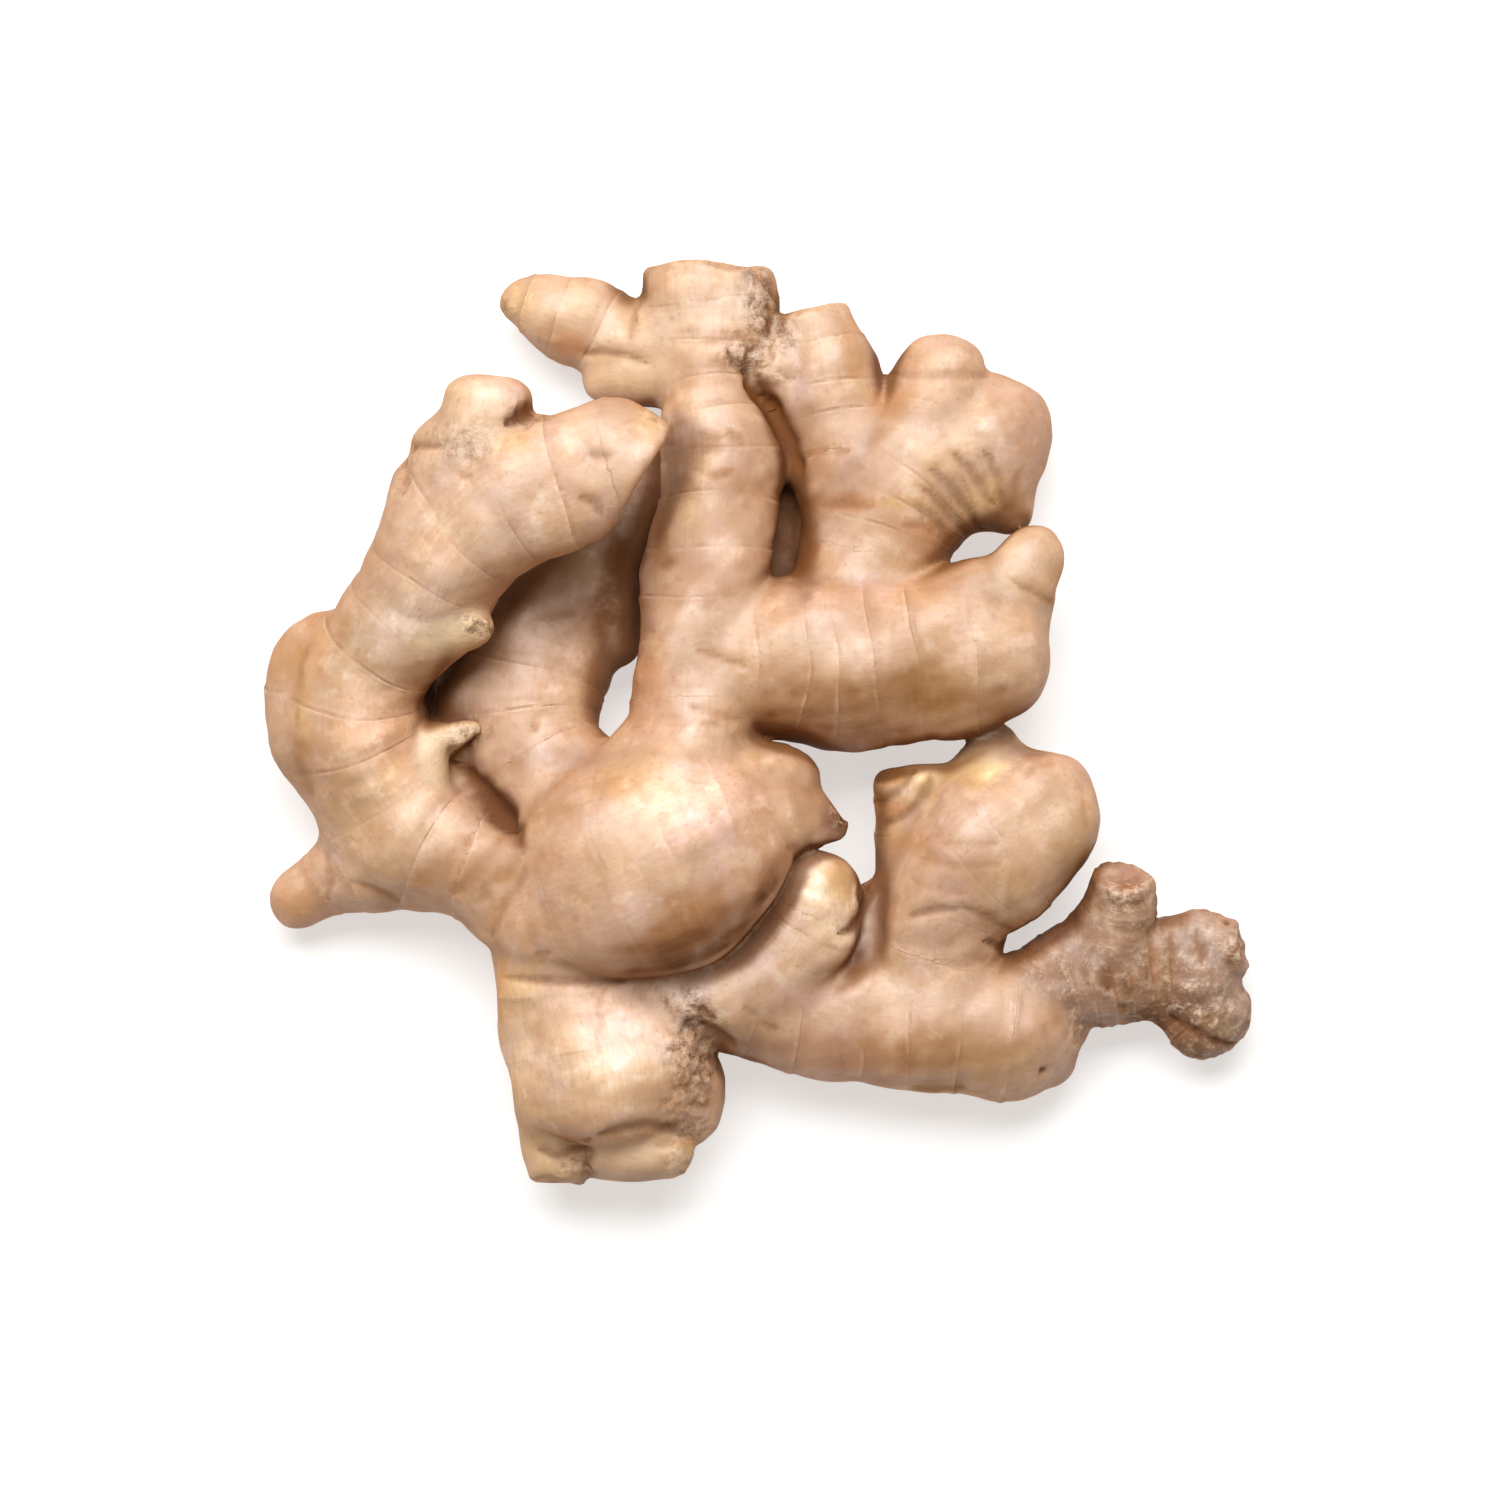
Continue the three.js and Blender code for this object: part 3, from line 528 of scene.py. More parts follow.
def line_distance(x, y, line):
    """The distance in plan from each place to a line through some points, made longer towards the ends of
    the line, so that a fold of even width tapers there."""
    nearest = np.full(len(x), FAR)
    pieces = len(line) - 1
    for k, ((ax, ay), (bx, by)) in enumerate(zip(line[:-1], line[1:])):
        length2 = (bx - ax) ** 2 + (by - ay) ** 2
        t = np.clip(((x - ax) * (bx - ax) + (y - ay) * (by - ay)) / length2, 0, 1)
        taper = 0.3 + 0.7 * np.sqrt(np.sin(np.pi * (k + t) / pieces).clip(0))
        away = np.hypot(x - ax - t * (bx - ax), y - ay - t * (by - ay))
        nearest = np.minimum(nearest, away / taper)
    return nearest


def tone(name, usual=0.0):
    """One number for each point, from the fingers round it: the mean of their own, weighted by nearness."""
    return weight.T @ np.array([more.get(name, usual) for _, _, more in FINGERS])


# Only the skin that is open to the sky takes folds, stains and the painted light and shade laid on with
# them. It faces up, and isn't more than 3 to 5 mm below the highest point of its small square in plan.
SQUARE = 1.2
FRAY = 0.25  # how far the edges of folds and spots stray
OVERHUNG = 8  # how much farther off a fold counts where the sky is shut out
FOLD_REACH = 6.0  # how many of its widths off a fold is still noted
square = ((points[:, :2] - GRID_LOW[:2]) / SQUARE).astype(int)
roof = np.zeros(square.max(axis=0) + 1)
np.maximum.at(roof, tuple(square.T), points[:, 2])
open_sky = np.clip((points[:, 2] - roof[tuple(square.T)] + 5) / 2, 0, 1) * np.clip(normals[:, 2] * 4, 0, 1)
fold, fold_depth = np.full(len(points), FOLD_REACH), np.zeros(len(points))
x, y = points[:, 0] + FRAY * ripple, points[:, 1] + FRAY * wander
for depth, width, *line in FOLDS:
    distance = line_distance(x, y, line) + OVERHUNG * (1 - open_sky)
    height = height - depth * np.exp(-(distance / width) ** 2)
    if width < WIDE:
        fold_depth = np.where(distance / width < fold, min(1, depth), fold_depth)
        fold = np.minimum(fold, distance / width)


def spot_at(x0, y0, long, wide, strength, turn=0):
    """How strongly a spot marks each point: its strength times e to minus the square of r, where r is the
    sum of the squares of how far along and across the spot the point is, over its half length and half
    width. The ripple frays it, and it marks only what is open to the sky."""
    c, s = np.cos(np.radians(turn)), np.sin(np.radians(turn))
    u, v = (x - x0) * c + (y - y0) * s, (y - y0) * c - (x - x0) * s
    return strength * np.exp(-(((u / long) ** 2 + (v / wide) ** 2) * (1 + 0.3 * ripple)) ** 2) * open_sky


# Where the skin is dry and crumbly: torn scale fringes, weathered scars and the old branch, each as its
# middle x and y, half its length, half its width, its strength and, if it is turned, its turn in degrees.
CRUMBS = [
    (-11.3, -55.2, 8.7, 4, 1, 95), (-10.8, -47.5, 5.7, 3, 1, -25), (-30.8, -74.2, 4.3, 2.3, 0.6),
    (-13, -73.7, 3.3, 2.5, 0.8), (-11.7, -67.3, 5, 2.7, 0.7, -25), (1.3, 67.2, 6.7, 4, 1, -70),
    (-2, 60.8, 4.7, 3.3, 1, -30), (-0.3, 74.2, 4.7, 2, 0.8, -40), (-10, 76.5, 8.3, 1.7, 0.3),
    (-46.3, 15.2, 3.3, 2, 1, -15), (-49.3, -2.3, 3.7, 2.5, 0.8, 15), (-38.8, 50.2, 3.7, 2.3, 0.7),
    (-48.3, 46, 7, 4, 0.5), (-60, 41.8, 4, 5, 0.4), (14, -15.8, 3, 2.3, 1, -60),
    (73.3, -47.3, 7.7, 4.3, 0.8, -20), (80, -37.3, 3, 4, 0.8), (61.3, -29, 4.7, 3.7, 0.8),
    (65, -40.7, 8.3, 4.3, 0.35), (53.3, -51.5, 2, 5, 0.6), (-42.8, 69.3, 2.3, 2, 0.6),
    (-25, 20.2, 3.7, 6.7, 0.4), (-18, 50.5, 2, 1.7, 0.5), (41.7, -36.5, 2.7, 1.3, 0.6, 20),
    (20, -7.3, 2.3, 2.3, 0.4), (40, -2.3, 1.7, 2.7, 0.3), (17, -29.8, 1.3, 5, 0.6),
    (78.7, -39, 2.3, 1.7, 0.8),
]
crumbly = 0.35 * tone("old")  # the old branch is so all over
for spot in CRUMBS:
    crumbly = np.maximum(crumbly, spot_at(*spot))
height = height + crumbly * (0.4 * drift(points, 5) + 0.3 * drift(points, 2.6))

# The stains of the upper skin, and the painted light and shade laid on the same way, by kind: what the kind
# multiplies the skin's red, green and blue by, and its spots, each given as a crumbly one is.
STAINS_AND_PAINTED_LIGHT = {
    "orange": ((0.98, 0.84, 0.6), [
     (-72, 15.5, 7.5, 3, 0.9, 70), (-79.5, 11, 4.7, 3.3, 0.8, 60), (-64.7, 26.5, 4.3, 2.2, 0.8, 62),
     (-77.3, -29.8, 5.7, 4.7, 0.9, 30), (-11.7, 74.3, 6.7, 3.3, 0.35), (-16.7, 10.2, 4.3, 2.7, 0.5, 80),
     (-2.5, 26.8, 4, 2, 0.5), (15.5, 61.8, 5.7, 2.2, 0.8, 100), (21.3, 53.2, 4.3, 2.7, 0.9),
     (27.5, 53.8, 4, 2.3, 0.7), (25, 61.8, 3.3, 2, 0.6, 70), (9.7, 26.8, 4, 2.7, 0.8),
     (50, 23.2, 3.3, 2.7, 0.9, 60), (-30, -24.8, 8.3, 5, 0.4), (-25.8, 18.5, 8.3, 3, 0.4, 80),
     (-44.3, -44, 10, 2.7, 0.9, 95), (-40, -39.8, 4, 2.7, 0.5), (21.3, -8.8, 3.7, 2.2, 1),
     (23.7, -20.2, 3.7, 2.7, 0.9), (-35.8, -33.2, 10, 4.3, 0.5), (47.5, -40.2, 5.3, 3, 0.9),
     (54.2, -29.8, 2.7, 2.3, 0.6),
    ]),
    "yellow": ((1.04, 1, 0.72), [
     (-76, 3.5, 8.3, 2.2, 0.8, 90), (-40.8, 46, 3.7, 2, 0.6), (-41.2, 70.2, 4, 3.3, 0.9),
     (22.8, 36.3, 4, 1.3, 1), (-20, -9.8, 8.3, 4, 0.4), (-38.8, -64.8, 10, 3.3, 0.7, 95),
     (-12.3, -72.5, 4, 2.5, 0.9, 20), (13.7, -26.5, 4.3, 2.3, 0.7, 100), (35.8, -7.8, 4, 3, 0.8),
     (28.3, -10.8, 4, 2, 0.7, 40),
    ]),
    "red": ((0.92, 0.7, 0.55), [
     (-31.3, 63.2, 3, 2.5, 0.9), (-18.7, 3.5, 6.7, 3.7, 0.55, 90), (45.8, 48.5, 8.3, 4, 0.35, 100),
     (14.2, 36.3, 5.7, 1.8, 0.7), (28.3, 30.7, 7.3, 2.7, 0.8, -15), (-28, 4.8, 7, 1.7, 0.6, 90),
     (20, -13.5, 3.7, 1, 0.9, -20), (20.8, -15.2, 4.3, 2, 0.7), (51, -33.2, 2.3, 1.5, 1, 30),
     (61.5, -26.5, 3.3, 2.7, 0.9), (79.7, -39, 2.5, 2.2, 0.9),
    ]),
    # Brown: partly brown skin, partly painted shade on undersides and in shadowed places.
    "brown": ((0.74, 0.62, 0.5), [
     (-74, -9.5, 6.7, 3.3, 0.45, 110), (-60, 6.5, 5.7, 4.7, 0.6), (-52.5, -27.3, 10.8, 4.3, 0.5, 15),
     (43.3, 39.3, 4.3, 3.3, 0.4, 60), (11.7, 41.8, 5.7, 2.7, 0.4), (6.7, 3.5, 10, 5, 0.4),
     (9.2, -13.2, 5.7, 5, 0.7, -30), (-40.8, -9.5, 4.3, 3, 0.5), (-28.7, -68.2, 5.3, 3.7, 0.4),
     (-11.3, -63.2, 5.7, 5, 0.5), (33.3, -36.5, 6.7, 2.3, 0.4), (-6.3, 36.8, 6.7, 15, 0.6),
     (15, 44.3, 11.7, 8.3, 0.6), (18.3, 5.2, 15, 5.7, 0.5), (-43.3, -21.5, 5, 8.3, 0.45),
     (-16.7, -36.5, 10, 2.7, 0.7, 10), (18.3, -52.3, 25, 7.3, 0.6), (58.3, -41.5, 11.7, 5.7, 0.5),
     (-17.5, 33.5, 3, 10, 0.8), (-80.3, -30.7, 2.3, 2.3, 0.5), (13.3, -55.2, 13.3, 3.3, 0.5),
     (23.3, 2.7, 20, 4.3, 0.55, -3), (-17.3, 29.3, 2.2, 10, 0.5), (-23.3, -39, 13.3, 2.7, 0.5, 6),
     (-0.8, -28.2, 10, 3, 0.6, 60), (15, -2.3, 18.3, 2.3, 0.7), (5, -0.2, 8.3, 3, 0.6, -15),
     (40, 3.5, 6.7, 2.7, 0.4, 10), (-25, 26.8, 5, 2.7, 0.5), (58.3, -43.2, 2.3, 3.7, 0.5),
     (-41.7, -4, 3.7, 6, 0.5), (-43.3, -13.2, 5, 5, 0.3, -30), (67.5, -44, 7.7, 4.3, 0.6),
     (-12.5, -34, 10.7, 4.3, 1, 38), (2.5, -25.2, 6.7, 2.7, 0.8, 52), (-11.7, 25.2, 5.3, 6, 0.5),
     (18.3, 39.3, 7.3, 10, 0.4), (-1.7, 35.2, 5.7, 7, 0.5), (30.8, -29.8, 10, 8.3, 0.4, 20),
     (28.3, 5.2, 8.3, 5, 0.5), (38.3, -24.8, 5.7, 5, 0.4), (7.5, 44.3, 4, 5.7, 0.5),
     (40, -54, 10, 5.7, 0.4), (48.3, -44.8, 5, 5, 0.4), (6.7, 5.2, 6, 5, 0.35),
     (-2.5, -24, 6, 4.3, 0.45, 50), (-41.7, -4.8, 5, 6, 0.4), (27.5, -54.8, 5.7, 5.7, 0.4),
     (65, -44, 11.7, 8.3, 0.45), (-11.7, 26.8, 5, 5, 0.35), (16.7, 16.8, 11.7, 2.7, 0.3),
     (-5, 36.8, 5, 6.7, 0.3), (-11.7, -32.3, 8.3, 5, 0.6, 38), (18, 14.8, 6, 4.3, 0.4),
     (9.2, -35.7, 3.7, 3.7, 0.4), (48.7, -40.2, 5.7, 3.7, 0.3), (18.3, -56.8, 10, 3.3, 0.45),
     (48.3, -45.2, 5, 4.3, 0.35), (-11.7, 24.3, 3.7, 4.3, 0.35),
    ]),
    "grey": ((0.78, 0.84, 0.9), [
     (-26.2, 44, 2.7, 1.2, 0.7), (1, 70.2, 7, 3.3, 0.8, -60), (-7.5, 46, 5, 3, 0.4),
     (7.5, 13.5, 4, 2.7, 0.5), (-33.3, 21.8, 6.7, 4.3, 0.5), (-6.3, -65.7, 1.3, 4.3, 1),
     (47.5, -5.7, 8.3, 5.7, 0.3),
    ]),
    "olive": ((0.78, 0.74, 0.52), [
     (30, 4.3, 11.7, 5.7, 0.45), (-33.3, -75.2, 4.3, 2, 0.9), (33.3, -54.8, 13.3, 4, 0.5),
     (51.7, -20.2, 5.7, 3.7, 0.7, 70), (42.5, -24.8, 6.7, 3, 0.4), (37.5, -55.7, 10, 4, 0.5),
     (77.5, -51.2, 5.7, 3, 0.9, -20), (70, -46.5, 3.3, 1.3, 0.6), (37.5, -26.5, 5.7, 3, 0.35),
     (27.5, 5.2, 8.3, 3.7, 0.6), (69.2, -53.2, 6.7, 2.7, 0.7, -25), (9.2, 5.2, 6.7, 4.3, 0.4),
     (17.5, 3.5, 10, 3.7, 0.35),
    ]),
    # Cream: partly pale patches of skin, partly painted highlights and painted light over shadowed places.
    "cream": ((1.12, 1.14, 1), [
     (-18, 50.5, 2.7, 2.3, 0.8, 60), (-30.8, 31.8, 4.3, 3.3, 0.7, 45), (-22.5, 58.5, 6.3, 3.3, 0.7, -10),
     (26.7, -9.2, 2.7, 0.8, 1, -40), (10, -26.5, 5, 4.3, 0.6), (-69.2, -18.2, 8.3, 5, 0.5, -50),
     (-11.7, 68.5, 10, 10, 0.45), (-15, -10.7, 11.7, 7.3, 0.55), (-25, -54.8, 11.7, 10, 0.5),
     (-33.3, 70.2, 6.7, 5, 0.4), (-36.7, 46.8, 8.3, 6.7, 0.35), (-60, -11.5, 11.7, 5, 0.6, -30),
     (-53.3, 26.8, 8.3, 4.3, 0.45, 45), (-60, 20.2, 6, 3.3, 0.4, 60), (-20, 44.3, 5, 5, 0.4),
     (8.3, 62.7, 3.3, 5.7, 0.4), (-48.3, 53.5, 5, 3.3, 0.4), (29.2, 44.3, 8.3, 5, 0.35),
     (61.7, -32.3, 2.7, 1.7, 0.7), (6.7, -35.7, 5.7, 6.7, 0.6), (35.8, -6.5, 6.7, 4, 0.8),
     (-17.5, 48.5, 4.3, 5, 0.5), (-51.7, 15.2, 8.3, 4, 0.7, 20), (-62.5, -3.2, 7.7, 6.7, 0.7),
     (-41.7, -48.2, 4, 8.3, 0.4), (38.3, 35.2, 6.7, 4.3, 0.5, -50), (16.7, -15.7, 4, 5, 0.5),
     (-30.8, 5.2, 2.3, 8.3, 0.5), (27.5, 23.5, 6, 3.3, 0.3), (-11.7, 36.8, 3, 6.7, 0.5),
     (-43.3, -64.8, 5, 6.7, 0.5), (38.3, 35.2, 5.7, 5, 0.8), (40, -3.2, 6.7, 4.3, 0.8),
     (-10, 46.8, 3.3, 6.7, 0.7), (13.3, -32.3, 6.7, 6.7, 0.5), (-42.5, -44, 5.7, 4.3, 0.6),
     (7.5, -24.8, 3.7, 4.3, 0.5), (45, -32.3, 4, 5, 0.6), (37.5, 34.8, 5.7, 4.3, 0.4),
     (28.3, -6.2, 5, 3.3, 0.8), (-10.3, 34.8, 3.7, 5.7, 0.8), (18.7, -15.7, 4.3, 3.7, 0.8),
     (-41.3, -45.2, 4, 5, 0.7),
    ]),
    "purple": ((0.36, 0.32, 0.42), [
     (13.3, -15.8, 3.3, 3.2, 1, -50), (-33.3, -6, 6.7, 2.3, 0.35),
    ]),
    # Pink: partly pink skin, partly painted highlights.
    "pink": ((1.08, 1.02, 1.06), [
     (-42, 56, 3.7, 2, 0.8), (-33.3, 44.3, 6.7, 5, 0.4), (-50.8, 26.8, 7.5, 2.3, 0.5, -40),
     (-33.3, 73.2, 5, 2.3, 0.6), (-6.3, 61, 3.7, 2.7, 0.5), (-5.8, 22.7, 6.7, 2.3, 0.4),
     (18.3, 21.8, 10, 2.3, 0.6), (32.5, 13.5, 3.3, 10, 0.4), (-10, -13.2, 10, 6.7, 0.6),
     (-40, 5.2, 10, 4.3, 0.4, 80), (-25.8, -49.8, 8.3, 6.7, 0.6), (8.7, -26.2, 3.7, 3, 0.4),
     (20.8, -59, 15, 3, 0.5), (45, -51.5, 5, 5, 0.4), (37.5, -12.3, 5, 3, 0.6), (-69.2, -4, 6.7, 7.7, 0.6),
     (-46.7, 16.8, 6.7, 3.3, 0.5, 45), (-11.7, -13.2, 11.7, 7.7, 0.7), (13.3, 18.5, 15, 3.3, 0.6),
     (27.5, 24.3, 6, 3.3, 0.7), (48.3, -4.8, 8.3, 5.7, 0.9), (-62.5, -2.3, 6, 7.3, 0.6),
     (-61.3, -4.5, 6, 6.7, 0.8), (-22, -52.3, 6.7, 7.3, 0.7),
    ]),
    # Dark: mostly painted shade in clefts, creases and under overhangs, with some dark marks of the skin.
    "dark": ((0.4, 0.28, 0.2), [
     (14.8, -16.8, 1.8, 2, 1), (7.2, 29.3, 2.8, 9.3, 1), (3, 48.3, 8.3, 1.8, 1, -72),
     (-26.7, 18.2, 9, 4.7, 0.6, 10), (-43.8, -14.2, 7.7, 2.2, 1, -52), (-53.3, 5.2, 2, 7.7, 1, -20),
     (-22.5, 26.8, 5, 3.3, 0.7), (-28.7, -74, 1.3, 3.3, 0.8), (-5, -67.3, 1, 2.7, 0.7),
     (68.3, -49, 6.7, 3.3, 0.5, -20), (-10, -35.7, 10.7, 3, 0.5, 38), (67.5, -52.3, 7.3, 4, 0.45, -10),
     (-0.8, -53.5, 5.7, 4.3, 0.35), (70, -53.2, 8.3, 3.3, 0.5, -22), (6.3, 50.2, 2.7, 5.7, 0.4, -72),
     (-48.3, -9.2, 4.5, 1.5, 1, -52), (-44.7, -13.2, 7.3, 1.7, 0.8, -52), (-20, -41.8, 5.7, 1.3, 0.6, 5),
     (-11.7, -39.8, 5.3, 1.7, 0.75, 18), (-5.3, -36.2, 4.7, 1.8, 0.75, 40), (-1, -30.8, 4.3, 1.5, 0.6, 55),
     (2, -26.2, 4, 1.3, 0.5, 60), (1.3, 53, 5, 1.3, 0.9, -47), (4.5, 46.8, 5, 1.3, 0.9, -68),
     (-8, -51.5, 4.7, 1.8, 0.9, -30), (-16.3, -39.5, 4, 2, 0.35, 10), (1.7, 53.5, 2.7, 0.8, 0.6, -50),
    ]),
    # Pale: mostly painted highlights and painted light over shadowed places, with some pale scale edges.
    "pale": ((1.2, 1.3, 1.45), [
     (24.2, -11.8, 4.3, 0.8, 1, -30), (-50.8, 29.3, 10, 7.3, 0.5, 50), (-62.5, -5.7, 7.3, 7.3, 0.9),
     (-55.8, 14.8, 10, 5.3, 0.9, 20), (-40.8, 36.8, 6.7, 8.3, 0.4), (-14.2, -11.5, 10.7, 7, 0.5),
     (-25, -54.8, 10, 9.3, 0.35), (-11.7, -44, 6, 4.3, 1, -10), (-4.2, -39, 7.3, 5, 1, 20),
     (6.7, -29.8, 5, 10, 0.9, 10), (16.7, -34.8, 4.3, 5.7, 0.8), (37.5, -4, 6.7, 4.3, 1),
     (-15.3, 45.2, 3.7, 6.7, 0.9), (-60.8, 16, 6.7, 4.3, 0.6, 60), (-42.5, -54, 5.7, 7.7, 0.6),
     (-42.5, 55.2, 5.7, 4, 0.7), (47.5, -35.7, 4, 5, 0.7), (36.7, 31.8, 5, 3.3, 0.4, -40),
     (-4.2, 74.3, 5.7, 5, 0.6), (-11.7, 68.5, 8.3, 8.3, 0.45), (-25, -54, 8.3, 7.7, 0.75),
     (38.3, -4, 7.3, 4, 1), (28.3, -7.3, 6, 2.7, 0.9), (-11.7, 45.2, 5, 6, 0.9), (15, -34, 5, 6, 1),
     (9.2, -26.5, 5, 6, 0.6), (47.5, -34, 4.3, 5.3, 0.9), (-60.8, 11.8, 9.3, 6.7, 0.6, 30),
     (-11.7, -54.8, 5, 6, 0.7), (-40.8, -54.8, 5, 7.3, 0.6), (-41.7, 55.2, 5.7, 5, 0.6),
     (-30.8, 5.2, 5, 6, 0.5), (48.3, -4.8, 5.7, 5.7, 0.8), (-10, -12.3, 8.7, 6, 0.9),
     (-10, 44.8, 4, 5.7, 0.8), (-52.5, 16, 6.7, 4.3, 0.4, 30), (38.7, -4.5, 5, 3.7, 1),
     (18.7, -34, 4.3, 5.7, 0.8), (48.3, -35.7, 5, 4.7, 0.7, 30), (8.7, -24.5, 3.7, 5, 0.7),
     (-11.7, -44, 5, 4.3, 0.6), (-23.3, -54, 7.7, 6.7, 0.7), (68.3, -34, 5, 2.7, 0.7),
     (-41.7, -46.5, 3, 6.7, 0.4, 95),
    ]),
}
stain_and_painted_light = np.ones((len(points), 3))
for shift, spots in STAINS_AND_PAINTED_LIGHT.values():
    for spot in spots:
        stain_and_painted_light *= 1 + spot_at(*spot)[:, None] * (np.array(shift) - 1)

FAINT = 0.08  # height of the faint ripple of all the skin
points = points + normals * (height + FAINT * ripple)[:, None]
points[:, 2] = np.maximum(points[:, 2], 0)  # nothing reaches below where it lies

mesh = bpy.data.meshes.new("ginger_root_skin")
mesh.from_pydata(points * 0.001, [], quads)
mesh.shade_smooth()
root = bpy.data.objects.new("ginger_root_skin", mesh)
bpy.context.scene.collection.objects.link(root)

# What the material reads: values stored for each point of the skin.
readings = {
    "ring_at": ring_at[best, every],
    "ring_gap": ring_gap[best, every],
    "ringed": tone("ringed", 1.0) * settled * fading,
    "unrolled": unrolled[best, every],
    "cleft": cleft,
    "fold": fold,
    "fold_depth": fold_depth,
    "sheltered": sheltered,
    "clear": settled,
    "crumbly": crumbly,
    "sideways": 1 - normals[:, 2].clip(0, 1),
    "stain_and_painted_light": stain_and_painted_light,
    "old": tone("old"),
    "bud": tone("bud"),
}
for name, values in readings.items():
    kind, part = ("FLOAT", "value") if values.ndim == 1 else ("FLOAT_VECTOR", "vector")
    stored = mesh.attributes.new(name, kind, "POINT")
    stored.data.foreach_set(part, np.asarray(values, np.float32).ravel())

# The skin's looks: a thin satin tan bark, mottled with pink and ochre, with fine fibres along each finger,
# a thin dark line at every leaf ring and a pale papery edge with a painted highlight on its lip, painted
# shade behind each ring, in the clefts and folds, where the skin is shut in and where it turns sideways, a
# painted highlight where it lies level, pale buds, and greyer skin on the old branch.
skin = bpy.data.materials.new("ginger_skin")
skin.use_nodes = True
nodes, links = skin.node_tree.nodes, skin.node_tree.links
surface = nodes["Principled BSDF"]


def node(kind, inputs=(), **settings):
    """A new node of a kind with its settings. Each input is a number or a colour, which is set on the
    socket, or another node's output, which is linked."""
    made = nodes.new(kind)
    for name, value in settings.items():
        setattr(made, name, value)
    for name, value in dict(inputs).items():
        if isinstance(value, bpy.types.NodeSocket):
            links.new(value, made.inputs[name])
        else:
            made.inputs[name].default_value = value
    return made


def reading(name, output="Fac"):
    """A value stored on the mesh: Fac is one number, the mean of its parts, and Vector is all three."""
    return node("ShaderNodeAttribute", attribute_name=name, attribute_type="GEOMETRY").outputs[output]


def math(operation, a, b=None):
    """One sum on numbers or outputs."""
    inputs = {k: v for k, v in enumerate((a, b)) if v is not None}
    return node("ShaderNodeMath", inputs, operation=operation).outputs[0]


def product(*values):
    """All the values multiplied together."""
    result = values[0]
    for value in values[1:]:
        result = math("MULTIPLY", result, value)
    return result


def spread(value, low, high, to_low=0.0, to_high=1.0):
    """A value that runs smoothly from to_low to to_high as the given one runs from low to high."""
    inputs = {"Value": value, "From Min": low, "From Max": high, "To Min": to_low, "To Max": to_high}
    return node("ShaderNodeMapRange", inputs, interpolation_type="SMOOTHSTEP").outputs["Result"]


def noise(vector, scale, detail=3.0, roughness=0.55):
    """A soft noise of 0 to 1 over a vector."""
    inputs = {"Vector": vector, "Scale": scale, "Detail": detail, "Roughness": roughness}
    return node("ShaderNodeTexNoise", inputs).outputs[0]


def stretched(vector, scale):
    """A vector whose parts are multiplied by the scale's."""
    return node("ShaderNodeVectorMath", {0: vector, 1: scale}, operation="MULTIPLY").outputs[0]


def mixed(share, a, b, way="MIX"):
    """Colour b laid over colour a as strongly as the share says, in one of Blender's ways of mixing."""
    made = node("ShaderNodeMix", data_type="RGBA", blend_type=way)
    for socket, value in zip((made.inputs[0], made.inputs[6], made.inputs[7]), (share, a, b)):
        if isinstance(value, bpy.types.NodeSocket):
            links.new(value, socket)
        else:
            socket.default_value = (*value, 1) if isinstance(value, tuple) else value
    return made.outputs[2]


here = node("ShaderNodeTexCoord").outputs["Object"]  # in metres
beside = reading("unrolled", "Vector")  # along the finger, and its two offsets, in millimetres
ring_phase = reading("ring_at")
ring_span = reading("ring_gap")
ring_strength = reading("ringed")
fold_off = reading("fold")  # how many of its widths the nearest fold is away
fold_deep = reading("fold_depth")
clear_skin = reading("clear")
tilt = reading("sideways")
dryness = reading("crumbly")
shelter = reading("sheltered")

blotch = noise(here, 55, 4.0)  # blots of about 15 mm
patch = noise(here, 190, 4.0, 0.6)  # patches of about 5 mm
grain = noise(here, 900, 3.0, 0.6)  # grain of about 1 mm
fibre = noise(stretched(beside, (0.07, 1.4, 1.4)), 1.0, 4.0, 0.6)  # fibres along the finger
fibre = product(math("SUBTRACT", fibre, 0.5), clear_skin)
bands = noise(stretched(beside, (0.28, 0.07, 0.07)), 1.0, 2.0, 0.4)  # faint bands round it
bands = product(math("SUBTRACT", bands, 0.5), clear_skin)
crumb = noise(here, 620, 4.0, 0.7)  # crumbs of about 1.5 mm
breaks = noise(stretched(beside, (0.3, 0.35, 0.35)), 1.0, 2.0)  # where a ring's line breaks up

ring_share = math("FRACT", ring_phase)
ring_past = product(ring_share, ring_span)
ring_ahead = product(math("SUBTRACT", 1.0, ring_share), ring_span)
line = product(ring_strength, spread(breaks, 0.25, 0.7), spread(ring_past, 0.15, 0.75, 1.0, 0.0))
# A pale papery edge just before each ring, partly a painted highlight on its lip.
edge = product(ring_strength, spread(breaks, 0.3, 0.7), spread(ring_ahead, 0.1, 0.9, 1.0, 0.0))
# A soft band of painted shade in the step behind each ring.
shade = product(ring_strength, spread(ring_past, 0.2, 3.2, 1.0, 0.0))

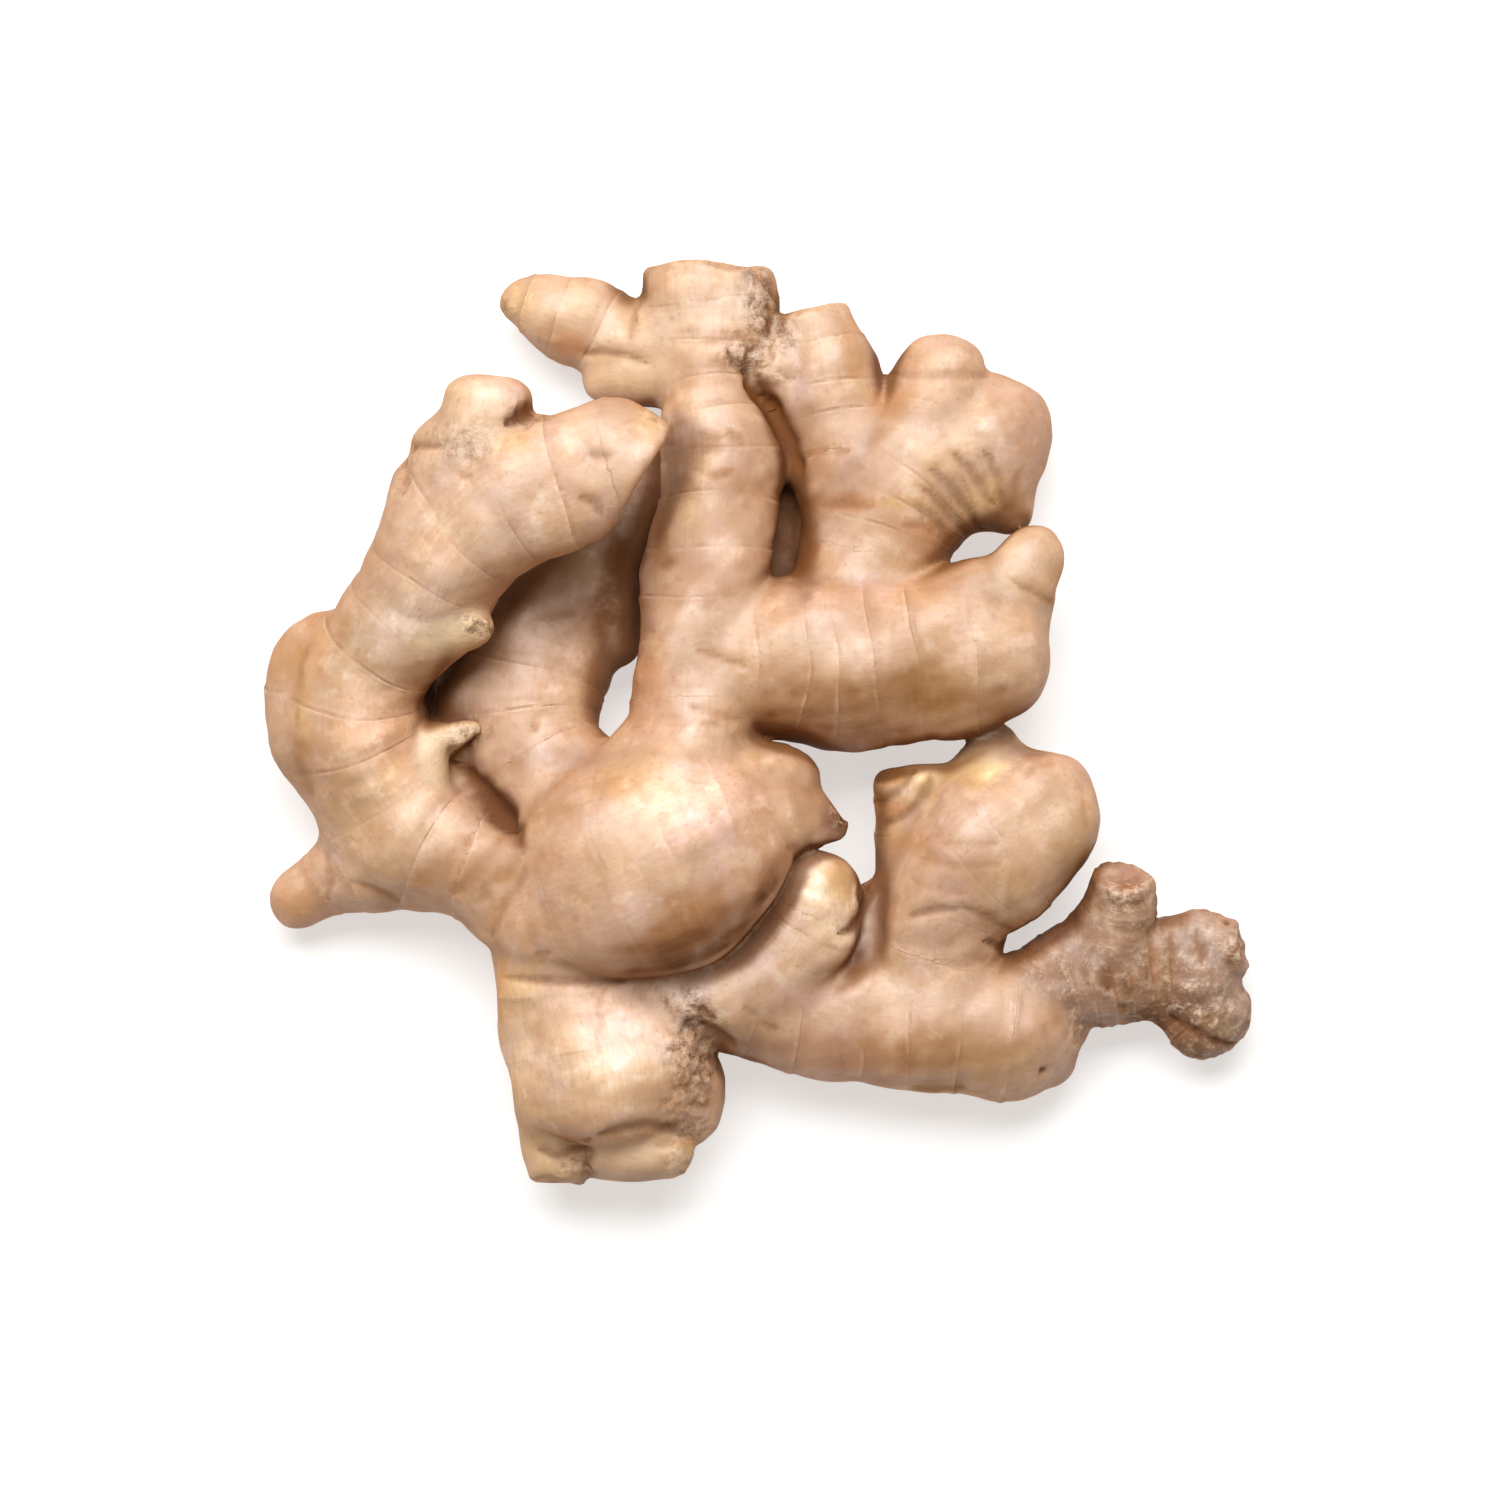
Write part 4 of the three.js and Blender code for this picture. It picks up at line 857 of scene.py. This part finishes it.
# The colour is laid on in layers. Each is how much of it shows and its colour, which lies over what is
# there already or, where the row says so, multiplies it.
layers = [
    (spread(patch, 0.35, 0.7), (0.70, 0.47, 0.30)),
    (product(spread(noise(here, 120, 3.0), 0.52, 0.7), 0.5), (0.55, 0.31, 0.14)),  # russet spots
    (spread(noise(here, 330, 3.0), 0.5, 0.68, 0.0, 0.4), (0.48, 0.26, 0.11)),  # smaller brown spots
    (spread(noise(here, 260, 4.0), 0.54, 0.7, 0.0, 0.45), (0.86, 0.66, 0.48)),  # straw-coloured spots
    (reading("bud"), (0.74, 0.53, 0.31)),
    (product(reading("old"), spread(patch, 0.2, 0.8, 0.55, 0.95)), (0.31, 0.20, 0.15)),
    # The stains, with the painted light and shade laid on among them.
    (1.0, reading("stain_and_painted_light", "Vector"), "MULTIPLY"),
    (spread(fibre, -0.2, 0.15, 0.22, 0.0), (0.42, 0.24, 0.13)),
    (spread(bands, -0.2, 0.1, 0.36, 0.0), (0.44, 0.25, 0.13)),
    (product(dryness, spread(crumb, 0.5, 0.62)), (0.74, 0.58, 0.40)),
    (product(dryness, spread(crumb, 0.5, 0.38, 0.0, 0.8)), (0.20, 0.10, 0.05)),
    # Painted highlight: the skin is paler where it lies level and faces up.
    (spread(tilt, 0.0, 0.35, 1.0, 0.0), (1.05, 1.14, 1.24), "MULTIPLY"),  # paler where it lies level
    # Painted shade: the skin is darker and browner where it turns sideways.
    (spread(tilt, 0.3, 1.0), (0.93, 0.80, 0.67), "MULTIPLY"),  # browner where it turns sideways
    (spread(grain, 0.58, 0.72, 0.0, 0.3), (0.36, 0.19, 0.1)),
    # Painted shade in the step behind each ring.
    (product(shade, 0.42), (0.45, 0.25, 0.13)),
    # The pale papery edge, partly a painted highlight on the ring's lip.
    (product(edge, 0.3), (0.83, 0.63, 0.42)),
    (product(line, 0.28), (0.24, 0.11, 0.05)),
    # Painted shade in the clefts where two fingers meet.
    (product(reading("cleft"), 0.3), (0.16, 0.06, 0.025)),
    # Painted shade along the narrow folds.
    (product(spread(fold_off, 0.1, 1.3, 1.0, 0.0), spread(fold_deep, 0.0, 1.0, 0.08, 0.95)),
     (0.17, 0.07, 0.03)),
    # Painted shade where other flesh shuts the skin in.
    (spread(shelter, 0.12, 0.8, 0.0, 0.85), (0.19, 0.075, 0.024)),
    (1.0, (0.78, 0.73, 0.718), "MULTIPLY"),  # how dull the whole skin is
]
tan = mixed(spread(blotch, 0.35, 0.65), (0.60, 0.36, 0.18), (0.68, 0.45, 0.34))
for share, colour, *way in layers:
    tan = mixed(share, tan, colour, *way)
links.new(tan, surface.inputs["Base Color"])

# The skin shines less where it turns sideways, is shut in, is stained or painted dark, or is folded.
rough = math("ADD", spread(patch, 0.3, 0.7, 0.4, 0.55), product(grain, 0.1))
links.new(rough, surface.inputs["Roughness"])
glint = product(spread(tilt, 0.2, 0.75, 0.85, 0.2), spread(shelter, 0.1, 0.5, 1.0, 0.1),
                spread(reading("stain_and_painted_light"), 0.3, 0.8, 0.05, 1.0), spread(fold_off, 0.2, 2.5, 0.1, 1.0))
links.new(glint, surface.inputs["Specular IOR Level"])
surface.inputs["Subsurface Weight"].default_value = 0.15
surface.inputs["Subsurface Radius"].default_value = (1.0, 0.45, 0.2)
surface.inputs["Subsurface Scale"].default_value = 0.003

# The finest relief, too fine for the mesh.
fine_height = product(fibre, 0.2)
for part in (product(grain, 0.3), product(bands, 0.4), product(crumb, dryness, 4.0), product(edge, 0.5)):
    fine_height = math("ADD", fine_height, part)
fine_height = math("SUBTRACT", fine_height, product(line, 0.7))
bump = node("ShaderNodeBump", {"Height": fine_height, "Strength": 0.55, "Distance": 0.00035})
links.new(bump.outputs["Normal"], surface.inputs["Normal"])
mesh.materials.append(skin)

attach(root, "root")
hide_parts("ginger_root")

# ------------------------------------------------------------------------------
# The studio: a pale floor that glows a little, one large soft lamp high at the back, a dim warm room, and
# a camera that looks straight down from far enough off that nothing leans. Sizes are in metres.

FLOOR_SIZE = 1.6
half = FLOOR_SIZE / 2
floor_mesh = bpy.data.meshes.new("floor")
floor_mesh.from_pydata([(-half, -half, 0), (half, -half, 0), (half, half, 0), (-half, half, 0)], [],
                       [(0, 1, 2, 3)])
floor = bpy.data.objects.new("floor", floor_mesh)
bpy.context.scene.collection.objects.link(floor)
pale = bpy.data.materials.new("pale_floor")
pale.use_nodes = True
paper = pale.node_tree.nodes["Principled BSDF"].inputs
paper["Base Color"].default_value = (0.48, 0.48, 0.48, 1)
paper["Roughness"].default_value = 0.9
paper["Emission Color"].default_value = (1, 1, 1, 1)
paper["Emission Strength"].default_value = 0.55
floor_mesh.materials.append(pale)

lamp = bpy.data.lights.new("key", "AREA")
lamp.shape, lamp.size, lamp.size_y, lamp.energy = "RECTANGLE", 1.4, 0.8, 36.5  # in watts
key = bpy.data.objects.new("key", lamp)
key.location = (-0.12, 0.75, 1.25)
key.rotation_mode = "QUATERNION"
key.rotation_quaternion = (-key.location).to_track_quat("-Z", "Y")
bpy.context.scene.collection.objects.link(key)

room = bpy.data.worlds.new("room")
room.use_nodes = True
glow = room.node_tree.nodes["Background"].inputs
glow["Color"].default_value = (1, 0.86, 0.7, 1)
glow["Strength"].default_value = 0.36
bpy.context.scene.world = room
bpy.context.scene.view_settings.view_transform = "Standard"

FRAME_WIDTH = 0.25  # what the picture takes in, at the height of the fingers' middles
FRAME_MIDDLE = (-0.0017, -0.0048)
MIDDLE_HEIGHT = 0.02  # of the fingers
camera = bpy.data.objects.new("camera", bpy.data.cameras.new("camera"))
camera.data.lens, camera.data.sensor_width = 200, 36  # in millimetres
above = FRAME_WIDTH * camera.data.lens / camera.data.sensor_width
camera.location = (*FRAME_MIDDLE, MIDDLE_HEIGHT + above)
camera.data.clip_end = 10
bpy.context.scene.collection.objects.link(camera)
bpy.context.scene.camera = camera
